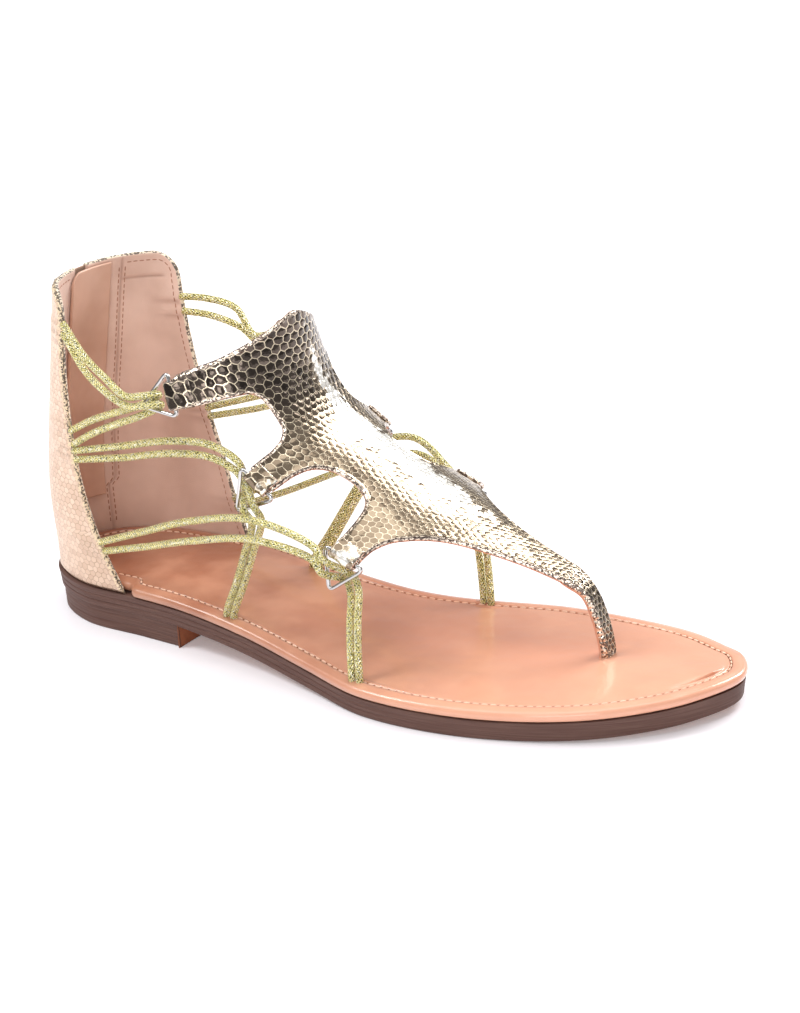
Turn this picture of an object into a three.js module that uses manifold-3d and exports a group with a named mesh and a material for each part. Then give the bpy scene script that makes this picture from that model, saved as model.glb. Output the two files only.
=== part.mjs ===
// A right gladiator sandal: low moulded sole, wrapped footbed, tall zipped counter and a toe-post vamp
// whose six tabs are tied to the counter and to the footbed by doubled elastic cords.
// Millimetres. +X runs from heel to toe, +Y to the inner side of the foot, +Z up.
// The tables below are laid out from the back of the heel; the origin is on the floor under the heel.

import * as THREE from 'three';
import { mergeVertices } from 'three/addons/utils/BufferGeometryUtils.js';
import Module from 'manifold-3d';

const wasm = await Module();
wasm.setup();

// Driving dimensions.
const footLength = 246;
const ballWidth = 84;
const heelCentre = 28;
const heelLength = 67;
const heelLift = 7.5;
const toeSpring = 2.6;
const outsoleThickness = 6.2;
const outsoleTaper = 1.4;
const ribDepth = 0.45;
const footbedThickness = 3.4;
const footbedOverhang = 0.5;
const footbedCrown = 1.1;
const grooveInset = 5;
const grooveDepth = 0.6;
const seam = 0.3;

const counterHeight = 100;
const counterWidth = 57;
const counterWall = 2;
const counterInset = 0.7;
const counterCorner = 9;

const zipWidth = 5;
const zipThickness = 1.3;
const zipStart = 20;
const zipTeethWidth = 1.8;
const zipTeethHeight = 0.5;
const guardThickness = 1.1;
const guardStart = 16;
const guardInnerReach = 13;
const guardOuterReach = 6;
const sliderLength = 9;
const sliderWidth = 6.4;
const sliderHeight = 2.6;
const sliderDrop = 7;
const pullLength = 31;
const pullWidth = 5;
const pullThickness = 1.5;
const pullBore = 0.9;
const pullEyeWall = 0.8;
const pinRadius = 0.6;

const instepHeight = 110.5;
const vampWall = 1.6;
const postWidth = 7;
const postThickness = 3;
const postDepth = 2.6;
const postClearance = 0.5;
const wireRadius = 0.65;
const loopWall = 1.25;
const loopLength = 8;
const ringSide = 14.5;
const ringCorner = 2.4;

const cordRadius = 1.2;
const cordPitch = 2.75;
const cordClearance = 0.3;
const cordStart = 0.9;
const cordClear = wireRadius + cordRadius + cordClearance;

// Sole outline: share of the foot's length, then each side's reach as a share of the ball width.
const SOLE_OUTLINE = [
  { at: 0.03, inner: 0.204, outer: 0.193 },
  { at: 0.10, inner: 0.312, outer: 0.312 },
  { at: 0.20, inner: 0.337, outer: 0.330 },
  { at: 0.30, inner: 0.318, outer: 0.351 },
  { at: 0.40, inner: 0.295, outer: 0.388 },
  { at: 0.50, inner: 0.312, outer: 0.456 },
  { at: 0.60, inner: 0.387, outer: 0.536 },
  { at: 0.70, inner: 0.464, outer: 0.533 },
  { at: 0.80, inner: 0.476, outer: 0.461 },
  { at: 0.88, inner: 0.445, outer: 0.348 },
  { at: 0.94, inner: 0.371, outer: 0.199 },
  { at: 0.975, inner: 0.311, outer: 0.061 },
];
const toeTip = 0.155;

// Where the sole leaves the floor, as shares of the foot's length.
const SOLE_PROFILE = { waistStart: 0.22, treadStart: 0.6, springStart: 0.72 };

// Side of the sole from its foot up: share of the thickness, share of the taper, and which rows are ribs.
const SOLE_SIDE = [
  { up: 0, inset: 1.0, rib: 0 },
  { up: 0.10, inset: 0.55, rib: 0 },
  { up: 0.34, inset: 0.42, rib: 0 },
  { up: 0.40, inset: 0.40, rib: 1 },
  { up: 0.46, inset: 0.36, rib: 0 },
  { up: 0.66, inset: 0.24, rib: 0 },
  { up: 0.72, inset: 0.20, rib: 1 },
  { up: 0.78, inset: 0.16, rib: 0 },
  { up: 1, inset: 0, rib: 0 },
];

// Counter sections: share of its height, back line as a share of the foot's length, half width as a share
// of the counter's width, and how far forward each front edge stands as a share of the foot's length.
const COUNTER = [
  { up: 0.00, back: 0.0070, half: 0.470, round: 0.50, inner: 0.230, outer: 0.176 },
  { up: 0.15, back: 0.0045, half: 0.485, round: 0.50, inner: 0.208, outer: 0.146 },
  { up: 0.30, back: 0.0070, half: 0.490, round: 0.49, inner: 0.191, outer: 0.128 },
  { up: 0.45, back: 0.0140, half: 0.492, round: 0.47, inner: 0.172, outer: 0.116 },
  { up: 0.62, back: 0.0255, half: 0.495, round: 0.44, inner: 0.154, outer: 0.109 },
  { up: 0.80, back: 0.0380, half: 0.500, round: 0.42, inner: 0.140, outer: 0.108 },
  { up: 1.00, back: 0.0520, half: 0.505, round: 0.40, inner: 0.131, outer: 0.115 },
];

// Vamp spine from the peak at the ankle to the toe post: x as a share of the foot's length, z as a share of
// the instep height, arch radius as a share of the ball width.
const SPINE = [
  { x: 0.4057, z: 1.000, arch: 0.26 },
  { x: 0.4200, z: 0.818, arch: 0.43 },
  { x: 0.4600, z: 0.684, arch: 0.60 },
  { x: 0.5207, z: 0.588, arch: 0.67 },
  { x: 0.5943, z: 0.500, arch: 0.69 },
  { x: 0.6805, z: 0.410, arch: 0.58 },
  { x: 0.7740, z: 0.325, arch: 0.52 },
];
const spineStartShift = -0.03;
const postShift = 0.106;
const postPlace = 0.8228;
const postLean = 0.0085;

// Half width of the vamp along its spine: share of the spine's length, share of the ball width.
const VAMP_HALF = [
  { along: 0.000, half: 0.014 },
  { along: 0.010, half: 0.062 },
  { along: 0.035, half: 0.165 },
  { along: 0.070, half: 0.330 },
  { along: 0.102, half: 0.525 },
  { along: 0.146, half: 0.518 },
  { along: 0.150, half: 0.340 },
  { along: 0.156, half: 0.262 },
  { along: 0.180, half: 0.225 },
  { along: 0.222, half: 0.215 },
  { along: 0.250, half: 0.218 },
  { along: 0.272, half: 0.250 },
  { along: 0.283, half: 0.310 },
  { along: 0.288, half: 0.410 },
  { along: 0.350, half: 0.414 },
  { along: 0.355, half: 0.330 },
  { along: 0.364, half: 0.270 },
  { along: 0.382, half: 0.226 },
  { along: 0.415, half: 0.196 },
  { along: 0.463, half: 0.188 },
  { along: 0.506, half: 0.210 },
  { along: 0.530, half: 0.262 },
  { along: 0.538, half: 0.330 },
  { along: 0.543, half: 0.438 },
  { along: 0.614, half: 0.446 },
  { along: 0.620, half: 0.380 },
  { along: 0.664, half: 0.268 },
  { along: 0.745, half: 0.170 },
  { along: 0.840, half: 0.114 },
  { along: 0.925, half: 0.082 },
  { along: 1.000, half: 0.066 },
];

// The tabs' rings: middle of the tab along the spine, and the way the cords pull the ring: back, out, down.
const RINGS = [
  { name: 'upper', along: 0.124, reach: 0.522, back: 0.93, out: 0.06, down: 0.36 },
  { name: 'middle', along: 0.319, reach: 0.412, back: 0.24, out: 0.10, down: 0.96 },
  { name: 'lower', along: 0.578, reach: 0.442, back: 0.38, out: 0.10, down: 0.92 },
];

// Slots in the footbed: share of the foot's length and of the ball width from the sole's middle line.
const SLOTS = {
  inner: { rear: { at: 0.356, reach: 0.232 }, front: { at: 0.598, reach: 0.345 } },
  outer: { rear: { at: 0.356, reach: 0.337 }, front: { at: 0.584, reach: 0.492 } },
};

// Heights where the cords leave the counter's front edges, as shares of the counter's height.
const ANCHORS = {
  highOuter: [0.885, 0.853],
  highInner: [0.845, 0.795],
  tie: [0.545, 0.500],
  side: [0.475, 0.445],
  low: [0.170, 0.140],
};

// Turn of a cord round the upper ring's tip: how far behind the tip, how far off the ring's plane, and how
// far it leans along the bar.
const TIP_TURN = [
  { behind: 4.0, off: 2.35, lean: -2.8 },
  { behind: -2.6, off: 2.9, lean: -0.8 },
  { behind: -7.2, off: 0, lean: 0 },
  { behind: -2.6, off: -2.9, lean: 0.2 },
  { behind: 4.3, off: -2.35, lean: 0.6 },
];

// Where the two cords of a pair cross the lower rings' wires, as shares of the wire from its start, and how
// much further than the bare clearance they stay off the ring's plane.
const DROP_WRAP = [{ rear: 0.26, front: 0.58, lift: 1.2 }, { rear: 0.54, front: 0.34, lift: 1.6 }];

// How each free stretch of cord bows: share of the way, then outwards and upwards, one row for each cord.
const BOWS = {
  highOuter: [[{ at: 0.32, out: 0.4, up: -2.2 }, { at: 0.7, out: 0.8, up: -0.8 }],
    [{ at: 0.32, out: 0.6, up: -3.6 }, { at: 0.7, out: 1.2, up: -2.2 }]],
  highInner: [[{ at: 0.3, out: 0.6, up: 3.2 }, { at: 0.7, out: 1.8, up: 4.8 }],
    [{ at: 0.3, out: 0.6, up: 1.8 }, { at: 0.7, out: 1.8, up: 1.6 }]],
  tie: [[{ at: 0.35, out: 0.4, up: 0.6 }, { at: 0.7, out: 0.2, up: 0.8 }],
    [{ at: 0.35, out: 0.4, up: 0.6 }, { at: 0.7, out: 0.2, up: 0.8 }]],
  side: [[{ at: 0.3, out: 0.6, up: 2.8 }, { at: 0.6, out: 0.8, up: 5.6 }, { at: 0.85, out: 0.4, up: 5.0 }],
    [{ at: 0.3, out: 0.6, up: 2.2 }, { at: 0.6, out: 0.8, up: 5.0 }, { at: 0.85, out: 0.4, up: 4.6 }]],
  sideDrop: [[{ at: 0.35, out: -1.0, up: 0 }, { at: 0.7, out: -0.8, up: 0 }],
    [{ at: 0.35, out: -1.0, up: 0 }, { at: 0.7, out: -0.8, up: 0 }]],
  low: [[{ at: 0.22, out: 1.6, up: 4.2 }, { at: 0.5, out: 5.0, up: 9.4 }, { at: 0.8, out: 6.2, up: 10.2 }],
    [{ at: 0.22, out: 1.6, up: 2.6 }, { at: 0.5, out: 5.0, up: 6.6 }, { at: 0.8, out: 6.2, up: 8.0 }]],
  lowDrop: [[{ at: 0.35, out: 0.6, up: 0 }, { at: 0.7, out: 0.6, up: 0 }],
    [{ at: 0.35, out: 0.6, up: 0 }, { at: 0.7, out: 0.6, up: 0 }]],
};

const FOOT_BLEND = 0.35;
const FOOT_CLEARANCE = 0.1;
const OUTLINE_STEPS = 56;
const CORD_STEPS = 2;
const SIDES = [{ name: 'inner', sign: 1 }, { name: 'outer', sign: -1 }];

// Smooth 0 to 1 step between two places.
function ease(x, from, to) {
  const t = Math.min(1, Math.max(0, (x - from) / (to - from)));
  return t * t * (3 - 2 * t);
}

// Linear reading of a table: the columns' values at a place between two rows.
function read(rows, key, value, column) {
  const next = rows.findIndex((row) => row[key] >= value);
  if (next <= 0) return rows[next === 0 ? 0 : rows.length - 1][column];
  const a = rows[next - 1];
  const b = rows[next];
  const t = (value - a[key]) / (b[key] - a[key]);
  return a[column] + (b[column] - a[column]) * t;
}

// Smooth reading of a table with evenly changing slopes.
function readSmooth(rows, key, value, column) {
  const n = rows.length;
  let i = rows.findIndex((row) => row[key] >= value) - 1;
  if (i < 0) i = value <= rows[0][key] ? 0 : n - 2;
  const slope = (k) => {
    const lo = Math.max(0, k - 1);
    const hi = Math.min(n - 1, k + 1);
    return (rows[hi][column] - rows[lo][column]) / (rows[hi][key] - rows[lo][key]);
  };
  const h = rows[i + 1][key] - rows[i][key];
  const t = Math.min(1, Math.max(0, (value - rows[i][key]) / h));
  const t2 = t * t;
  const t3 = t2 * t;
  return (2 * t3 - 3 * t2 + 1) * rows[i][column] + (t3 - 2 * t2 + t) * h * slope(i)
    + (3 * t2 - 2 * t3) * rows[i + 1][column] + (t3 - t2) * h * slope(i + 1);
}

// Height of the sole's underside over the floor.
function rise(x) {
  const share = x / footLength;
  const lift = heelLift * (1 - ease(share, SOLE_PROFILE.waistStart, SOLE_PROFILE.treadStart));
  const spring = Math.max(0, (share - SOLE_PROFILE.springStart) / (1 - SOLE_PROFILE.springStart));
  return lift + toeSpring * spring * spring;
}

const soleTop = (x) => rise(x) + outsoleThickness;
const footbedBottom = (x) => soleTop(x) + seam;
const footbedTop = (x) => footbedBottom(x) + footbedThickness;

// The sole's outline as a closed curve from the heel's back round the inner side.
const outlineCurve = new THREE.CatmullRomCurve3(
  [
    new THREE.Vector3(0, 0, 0),
    ...SOLE_OUTLINE.map((row) => new THREE.Vector3(row.at * footLength, row.inner * ballWidth, 0)),
    new THREE.Vector3(footLength, toeTip * ballWidth, 0),
    ...SOLE_OUTLINE.slice().reverse()
      .map((row) => new THREE.Vector3(row.at * footLength, -row.outer * ballWidth, 0)),
  ],
  true,
  'centripetal',
);

// Place on the outline, as a share of its length, where one side has a given distance from the heel's back.
function outlineShare(x, side) {
  let heel = side.name === 'inner' ? 0 : 1;
  let toe = 0.5;
  for (let i = 0; i < 30; i += 1) {
    const middle = (heel + toe) / 2;
    if (outlineCurve.getPointAt(middle).x < x) heel = middle;
    else toe = middle;
  }
  return heel;
}

// Even places on the outline, of which one on each side is moved to the counter's front edge.
const outlineShares = Array.from({ length: OUTLINE_STEPS }, (_, i) => i / OUTLINE_STEPS);
SIDES.forEach((side) => {
  const share = outlineShare(COUNTER[0][side.name] * footLength + 1, side);
  outlineShares[Math.round(share * OUTLINE_STEPS)] = share;
});

// Points of the outline with their outward normals.
const outlinePoints = outlineShares.map((share) => {
  const point = outlineCurve.getPointAt(share);
  const along = outlineCurve.getTangentAt(share);
  return { x: point.x, y: point.y, nx: -along.y, ny: along.x };
});

// A closed mesh from points and triangles, with equal points merged.
function solidGeometry(points, triangles) {
  const geometry = new THREE.BufferGeometry();
  geometry.setAttribute('position', new THREE.Float32BufferAttribute(points.flat(), 3));
  geometry.setIndex(triangles.flat());
  const merged = mergeVertices(geometry, 1e-4);
  const index = merged.getIndex().array;
  const kept = [];
  for (let i = 0; i < index.length; i += 3) {
    const [a, b, c] = [index[i], index[i + 1], index[i + 2]];
    if (a !== b && b !== c && a !== c) kept.push(a, b, c);
  }
  merged.setIndex(kept);
  return merged;
}

// A slab with the sole's plan: side rows from its foot to its rim, then a cap on each end.
// Each row gives an inset for a point of the outline and a height for a place in plan.
function slab(rows, capColumns, footColumns = 2) {
  const points = [];
  const triangles = [];
  const n = OUTLINE_STEPS;
  rows.forEach((row) => outlinePoints.forEach((p) => {
    const inset = row.inset(p);
    const x = p.x - p.nx * inset;
    const y = p.y - p.ny * inset;
    points.push([x, y, row.height(x, y)]);
  }));
  for (let r = 0; r + 1 < rows.length; r += 1) {
    for (let i = 0; i < n; i += 1) {
      const a = r * n + i;
      const b = r * n + ((i + 1) % n);
      triangles.push([a, a + n, b], [b, a + n, b + n]);
    }
  }
  const cap = (row, first, up, count) => {
    const grid = [];
    for (let i = 0; i <= n / 2; i += 1) {
      const left = points[first + i];
      const right = points[first + ((n - i) % n)];
      const line = [];
      for (let j = 0; j <= count; j += 1) {
        if (i === 0 || i === n / 2 || j === 0) line.push(first + i);
        else if (j === count) line.push(first + n - i);
        else {
          const x = left[0] + ((right[0] - left[0]) * j) / count;
          const y = left[1] + ((right[1] - left[1]) * j) / count;
          line.push(points.push([x, y, row.cap(x, y, j / count)]) - 1);
        }
      }
      grid.push(line);
    }
    for (let i = 0; i < n / 2; i += 1) {
      for (let j = 0; j < count; j += 1) {
        const quad = [grid[i][j], grid[i + 1][j], grid[i + 1][j + 1], grid[i][j + 1]];
        if (up) triangles.push([quad[0], quad[3], quad[1]], [quad[1], quad[3], quad[2]]);
        else triangles.push([quad[0], quad[1], quad[3]], [quad[1], quad[2], quad[3]]);
      }
    }
  };
  cap(rows[0], 0, false, footColumns);
  cap(rows[rows.length - 1], (rows.length - 1) * n, true, capColumns);
  return solidGeometry(points, triangles);
}

// A shell between two grids of points, closed along its four edges. The front grid is the face from which
// its columns crossed with its rows point out.
function shell(front, back) {
  const rows = front.length;
  const columns = front[0].length;
  const points = [...front.flat(), ...back.flat()];
  const at = (layer, r, c) => layer * rows * columns + r * columns + c;
  const triangles = [];
  const quad = (a, b, c, d) => triangles.push([a, b, c], [a, c, d]);
  for (let r = 0; r + 1 < rows; r += 1) {
    for (let c = 0; c + 1 < columns; c += 1) {
      quad(at(0, r, c), at(0, r, c + 1), at(0, r + 1, c + 1), at(0, r + 1, c));
      quad(at(1, r, c), at(1, r + 1, c), at(1, r + 1, c + 1), at(1, r, c + 1));
    }
  }
  for (let c = 0; c + 1 < columns; c += 1) {
    quad(at(0, 0, c), at(1, 0, c), at(1, 0, c + 1), at(0, 0, c + 1));
    quad(at(0, rows - 1, c), at(0, rows - 1, c + 1), at(1, rows - 1, c + 1), at(1, rows - 1, c));
  }
  for (let r = 0; r + 1 < rows; r += 1) {
    quad(at(0, r, 0), at(0, r + 1, 0), at(1, r + 1, 0), at(1, r, 0));
    quad(at(0, r, columns - 1), at(1, r, columns - 1), at(1, r + 1, columns - 1), at(0, r + 1, columns - 1));
  }
  return solidGeometry(points, triangles);
}

// Conversions between a mesh and a solid that can be cut and joined.
function toSolid(geometry) {
  const bare = new THREE.BufferGeometry();
  bare.setAttribute('position', geometry.getAttribute('position').clone());
  if (geometry.getIndex()) bare.setIndex(geometry.getIndex().clone());
  const merged = mergeVertices(bare, 1e-4);
  const solid = new wasm.Manifold(new wasm.Mesh({
    numProp: 3,
    vertProperties: new Float32Array(merged.getAttribute('position').array),
    triVerts: new Uint32Array(merged.getIndex().array),
  }));
  return solid.volume() < 0 ? null : solid;
}

function toGeometry(solid) {
  const mesh = solid.getMesh();
  const geometry = new THREE.BufferGeometry();
  geometry.setAttribute('position', new THREE.Float32BufferAttribute(mesh.vertProperties, 3));
  geometry.setIndex(new THREE.BufferAttribute(mesh.triVerts, 1));
  return geometry;
}

const vector = (x, y, z) => new THREE.Vector3(x, y, z);

// A prism with rounded or plain outline, given in its own plane and placed by three axes and an origin.
function prism(shape, depth, basis, origin, curveSegments = 6) {
  const geometry = new THREE.ExtrudeGeometry(shape, { depth, bevelEnabled: false, curveSegments });
  geometry.translate(0, 0, -depth / 2);
  geometry.applyMatrix4(new THREE.Matrix4().makeBasis(...basis).setPosition(origin));
  return geometry;
}

// A rounded rectangle centred on its origin.
function roundedRectangle(width, height, radius) {
  const w = width / 2;
  const h = height / 2;
  const shape = new THREE.Shape();
  shape.moveTo(-w + radius, -h);
  shape.lineTo(w - radius, -h);
  shape.absarc(w - radius, -h + radius, radius, -Math.PI / 2, 0);
  shape.lineTo(w, h - radius);
  shape.absarc(w - radius, h - radius, radius, 0, Math.PI / 2);
  shape.lineTo(-w + radius, h);
  shape.absarc(-w + radius, h - radius, radius, Math.PI / 2, Math.PI);
  shape.lineTo(-w, -h + radius);
  shape.absarc(-w + radius, -h + radius, radius, Math.PI, Math.PI * 1.5);
  return shape;
}

// Outsole: a ribbed sheet that follows the arch, joined to a heel block that stands on the floor.
function outsole() {
  const ribShare = (x) => 1 - ease(x, heelLength * 1.9, heelLength * 2.6);
  const side = (bottom, top) => SOLE_SIDE.map((row) => ({
    inset: (p) => row.inset * outsoleTaper + row.rib * ribDepth * ribShare(p.x),
    height: (x) => bottom(x) + (top(x) - bottom(x)) * row.up,
    cap: (x) => (row.up === 0 ? bottom(x) : top(x)),
  }));
  const sheet = toSolid(slab(side(rise, soleTop), 2));
  const floorLevel = () => 0;
  const joint = (x) => rise(x) + outsoleThickness * 0.08;
  const block = toSolid(slab(side(floorLevel, joint).map((row) => ({
    ...row,
    inset: (p) => row.inset(p) * 0.5 + outsoleTaper * 0.9,
  })), 2));
  const breast = new THREE.Shape();
  breast.moveTo(-heelLength, -ballWidth);
  breast.lineTo(heelLength + 2, -ballWidth);
  breast.quadraticCurveTo(heelLength - 6, 0, heelLength + 2, ballWidth);
  breast.lineTo(-heelLength, ballWidth);
  const axes = [vector(1, 0, 0), vector(0, 1, 0), vector(0, 0, 1)];
  const keep = toSolid(prism(breast, heelLift * 6, axes, vector(0, 0, 0), 8));
  return toGeometry(sheet.add(block.intersect(keep)));
}

// Height of a counter row over the floor, and its plan: half width against the distance from its back.
const counterFoot = () => soleTop(0) + seam;

function counterSection(up) {
  const column = (name, size) => readSmooth(COUNTER, 'up', up, name) * size;
  return {
    z: counterFoot() + up * counterHeight,
    back: column('back', footLength),
    half: column('half', counterWidth),
    round: column('round', counterWidth),
    inner: column('inner', footLength),
    outer: column('outer', footLength),
  };
}

// Front edge on one side, drawn back along a round corner at the top.
function counterFront(up, side) {
  const section = counterSection(up);
  const into = Math.max(0, up * counterHeight - (counterHeight - counterCorner));
  const corner = counterCorner - Math.sqrt(Math.max(0, counterCorner ** 2 - into ** 2));
  return section[side.name] - corner;
}

// The sole's outline drawn in by the counter's inset, one list of points for each side, from the heel's back.
const insetEdges = (() => {
  const count = 400;
  const edges = { inner: [], outer: [] };
  for (let i = 0; i <= count / 2; i += 1) {
    [[i / count, 'inner', 1], [1 - i / count, 'outer', -1]].forEach(([share, name, sign]) => {
      const point = outlineCurve.getPointAt(share % 1);
      const along = outlineCurve.getTangentAt(share % 1);
      edges[name].push({ x: point.x + along.y * counterInset, reach: sign * (point.y - along.x * counterInset) });
    });
  }
  return edges;
})();

// A place on the counter's outer face in plan: around from -1 (outer edge) over 0 (back) to 1 (inner edge).
// Its foot follows the sole's outline, and higher up it eases into half an oval.
function counterPlan(around, up) {
  const side = around >= 0 ? SIDES[0] : SIDES[1];
  const section = counterSection(up);
  const front = counterFront(up, side);
  const share = 1 - Math.cos((Math.abs(around) * Math.PI) / 2);
  const x = section.back + (front - section.back) * share;
  const cosine = Math.max(0, 1 - (x - section.back) / section.round);
  const y = section.half * Math.sqrt(1 - cosine * cosine);
  const footX = counterInset + (front - counterInset) * share;
  const footY = read(insetEdges[side.name], 'x', footX, 'reach');
  const foot = 1 - ease(up, 0, FOOT_BLEND);
  return [x + (footX - x) * foot, side.sign * (y + (footY - y) * foot)];
}

// A point of the counter, sunk into its wall by a length square to the face.
function counterPoint(around, up, sunk) {
  const step = 0.004;
  const [x, y] = counterPlan(around, up);
  const before = counterPlan(Math.max(-1, around - step), up);
  const after = counterPlan(Math.min(1, around + step), up);
  const tx = after[0] - before[0];
  const ty = after[1] - before[1];
  const size = Math.hypot(tx, ty);
  return [x + (ty / size) * sunk, y - (tx / size) * sunk, counterSection(up).z];
}

// Where around the counter its outer face has a given place across the foot.
function aroundAt(y, up) {
  let low = -1;
  let high = 1;
  for (let i = 0; i < 30; i += 1) {
    const middle = (low + high) / 2;
    if (counterPlan(middle, up)[1] < y) low = middle;
    else high = middle;
  }
  return (low + high) / 2;
}

function counterRows(count) {
  return Array.from({ length: count + 1 }, (_, i) => Math.sin(((i / count) * Math.PI) / 2));
}

function counter() {
  const arounds = Array.from({ length: 23 }, (_, i) => -1 + i / 11);
  const rows = counterRows(9);
  const face = (sunk) => rows.map((up) => arounds.map((around) => counterPoint(around, up, sunk)));
  const wall = toSolid(shell(face(counterWall), face(0)));
  const gap = zipWidth + 2 * seam;
  const height = counterHeight * 2;
  const slot = new THREE.Shape();
  slot.moveTo(-gap / 2, 0);
  slot.lineTo(gap / 2, 0);
  slot.lineTo(gap / 2, height);
  slot.lineTo(-gap / 2, height);
  const axes = [vector(0, 1, 0), vector(0, 0, 1), vector(1, 0, 0)];
  const cutter = toSolid(prism(slot, counterWidth, axes, vector(0, 0, counterFoot() + zipStart)));
  return toGeometry(wall.subtract(cutter));
}

// A band that lies along the counter's back, from one height share to another.
function backBand(from, to, reachOuter, reachInner, outerSunk, innerSunk, steps, columns) {
  const rows = Array.from({ length: steps + 1 }, (_, i) => from + ((to - from) * i) / steps);
  const across = Array.from({ length: columns + 1 }, (_, i) => (
    -reachOuter + ((reachInner + reachOuter) * i) / columns));
  const face = (sunk) => rows.map((up) => across.map((y) => counterPoint(aroundAt(y, up), up, sunk)));
  return shell(face(innerSunk), face(outerSunk));
}

// Zip tape in the counter's slot, with its closed teeth as one raised rib.
function zipTape() {
  const bottom = (zipStart + seam) / counterHeight;
  const half = zipWidth / 2;
  const sunk = (counterWall - zipThickness) / 2;
  const tape = toSolid(backBand(bottom, 1, half, half, sunk, sunk + zipThickness, 6, 2));
  const teethHalf = zipTeethWidth / 2;
  const teethTop = sunk - zipTeethHeight;
  const teeth = toSolid(backBand(bottom, 1, teethHalf, teethHalf, teethTop, sunk + zipThickness / 2, 6, 1));
  return toGeometry(tape.add(teeth));
}

// Smooth flap behind the zip, inside the lining.
function zipGuard() {
  const bottom = guardStart / counterHeight;
  const sunk = counterWall + seam;
  return backBand(bottom, 0.985, guardOuterReach, guardInnerReach, sunk, sunk + guardThickness, 6, 4);
}

// Frame of the zip's slider: its middle, the way out of the counter, and the way down along its back.
function sliderFrame() {
  const up = 1 - sliderDrop / counterHeight;
  const high = counterSection(up);
  const low = counterSection(up - pullLength / counterHeight);
  const down = vector(low.back - high.back, 0, low.z - high.z).normalize();
  const across = vector(0, 1, 0);
  const out = new THREE.Vector3().crossVectors(down, across).normalize();
  if (out.x > 0) out.negate();
  const face = vector(high.back, 0, high.z);
  return { face, out, down, across };
}

// Slider body with the two ears and the pin that carry the pull.
function zipSlider() {
  const { face, out, down, across } = sliderFrame();
  const lift = zipTeethHeight + seam;
  const body = prism(
    roundedRectangle(sliderWidth, sliderLength, 1.6),
    sliderHeight,
    [across, down.clone(), new THREE.Vector3().crossVectors(across, down)],
    face.clone().addScaledVector(out, lift + sliderHeight / 2),
    2,
  );
  const pinCentre = pullHinge();
  const earWidth = 0.9;
  const earGap = pullWidth / 2 + seam + earWidth / 2;
  let solid = toSolid(body);
  [-1, 1].forEach((sign) => {
    const ear = prism(
      roundedRectangle(3, 4.4, 1.2),
      earWidth,
      [down.clone(), out.clone(), new THREE.Vector3().crossVectors(down, out)],
      pinCentre.clone().addScaledVector(across, sign * earGap).addScaledVector(out, -0.9),
      2,
    );
    solid = solid.add(toSolid(ear));
  });
  const pin = new THREE.CylinderGeometry(pinRadius, pinRadius, 2 * earGap, 10);
  pin.translate(...pinCentre.toArray());
  return toGeometry(solid.add(toSolid(pin)));
}

// Where the pull's hinge pin lies.
function pullHinge() {
  const { face, out } = sliderFrame();
  return face.clone().addScaledVector(out, zipTeethHeight + seam + sliderHeight + pullBore + pullEyeWall + seam);
}

// The way the pull hangs: its end lies close to the zip's teeth.
function pullHang() {
  const low = counterSection(1 - (sliderDrop + pullLength) / counterHeight);
  const off = zipTeethHeight + seam + pullThickness / 2;
  const end = vector(low.back, 0, low.z).addScaledVector(sliderFrame().out, off);
  return end.sub(pullHinge()).normalize();
}

// Pull tab: a strip with an eye round the pin, hanging along the counter's back.
function zipPull() {
  const { across } = sliderFrame();
  const down = pullHang();
  const out = new THREE.Vector3().crossVectors(across, down).negate();
  const eye = new THREE.Shape();
  eye.absarc(0, 0, pullBore + pullEyeWall, 0, Math.PI * 2);
  const bore = new THREE.Path();
  bore.absarc(0, 0, pullBore, 0, Math.PI * 2, true);
  eye.holes.push(bore);
  const hinge = pullHinge();
  const stripStart = pullBore + pullEyeWall / 2;
  const stripLength = pullLength - stripStart;
  const ringSolid = toSolid(prism(
    eye,
    pullWidth,
    [down.clone(), out.clone(), new THREE.Vector3().crossVectors(down, out)],
    hinge,
    4,
  ));
  const strip = toSolid(prism(
    roundedRectangle(pullWidth, stripLength, 1.6),
    pullThickness,
    [across, down.clone(), new THREE.Vector3().crossVectors(across, down)],
    hinge.clone().addScaledVector(down, stripStart + stripLength / 2),
    2,
  ));
  return toGeometry(ringSolid.add(strip));
}

// How far the footbed stands in from the sole's outline: a seat inside the counter, an overhang before it.
function footbedInset(p) {
  const side = p.y >= 0 ? SIDES[0] : SIDES[1];
  const front = COUNTER[0][side.name] * footLength;
  const seat = counterInset + counterWall + seam + FOOT_CLEARANCE;
  return seat - (seat + footbedOverhang) * ease(p.x, front + 1.2, front + 5);
}

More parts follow.
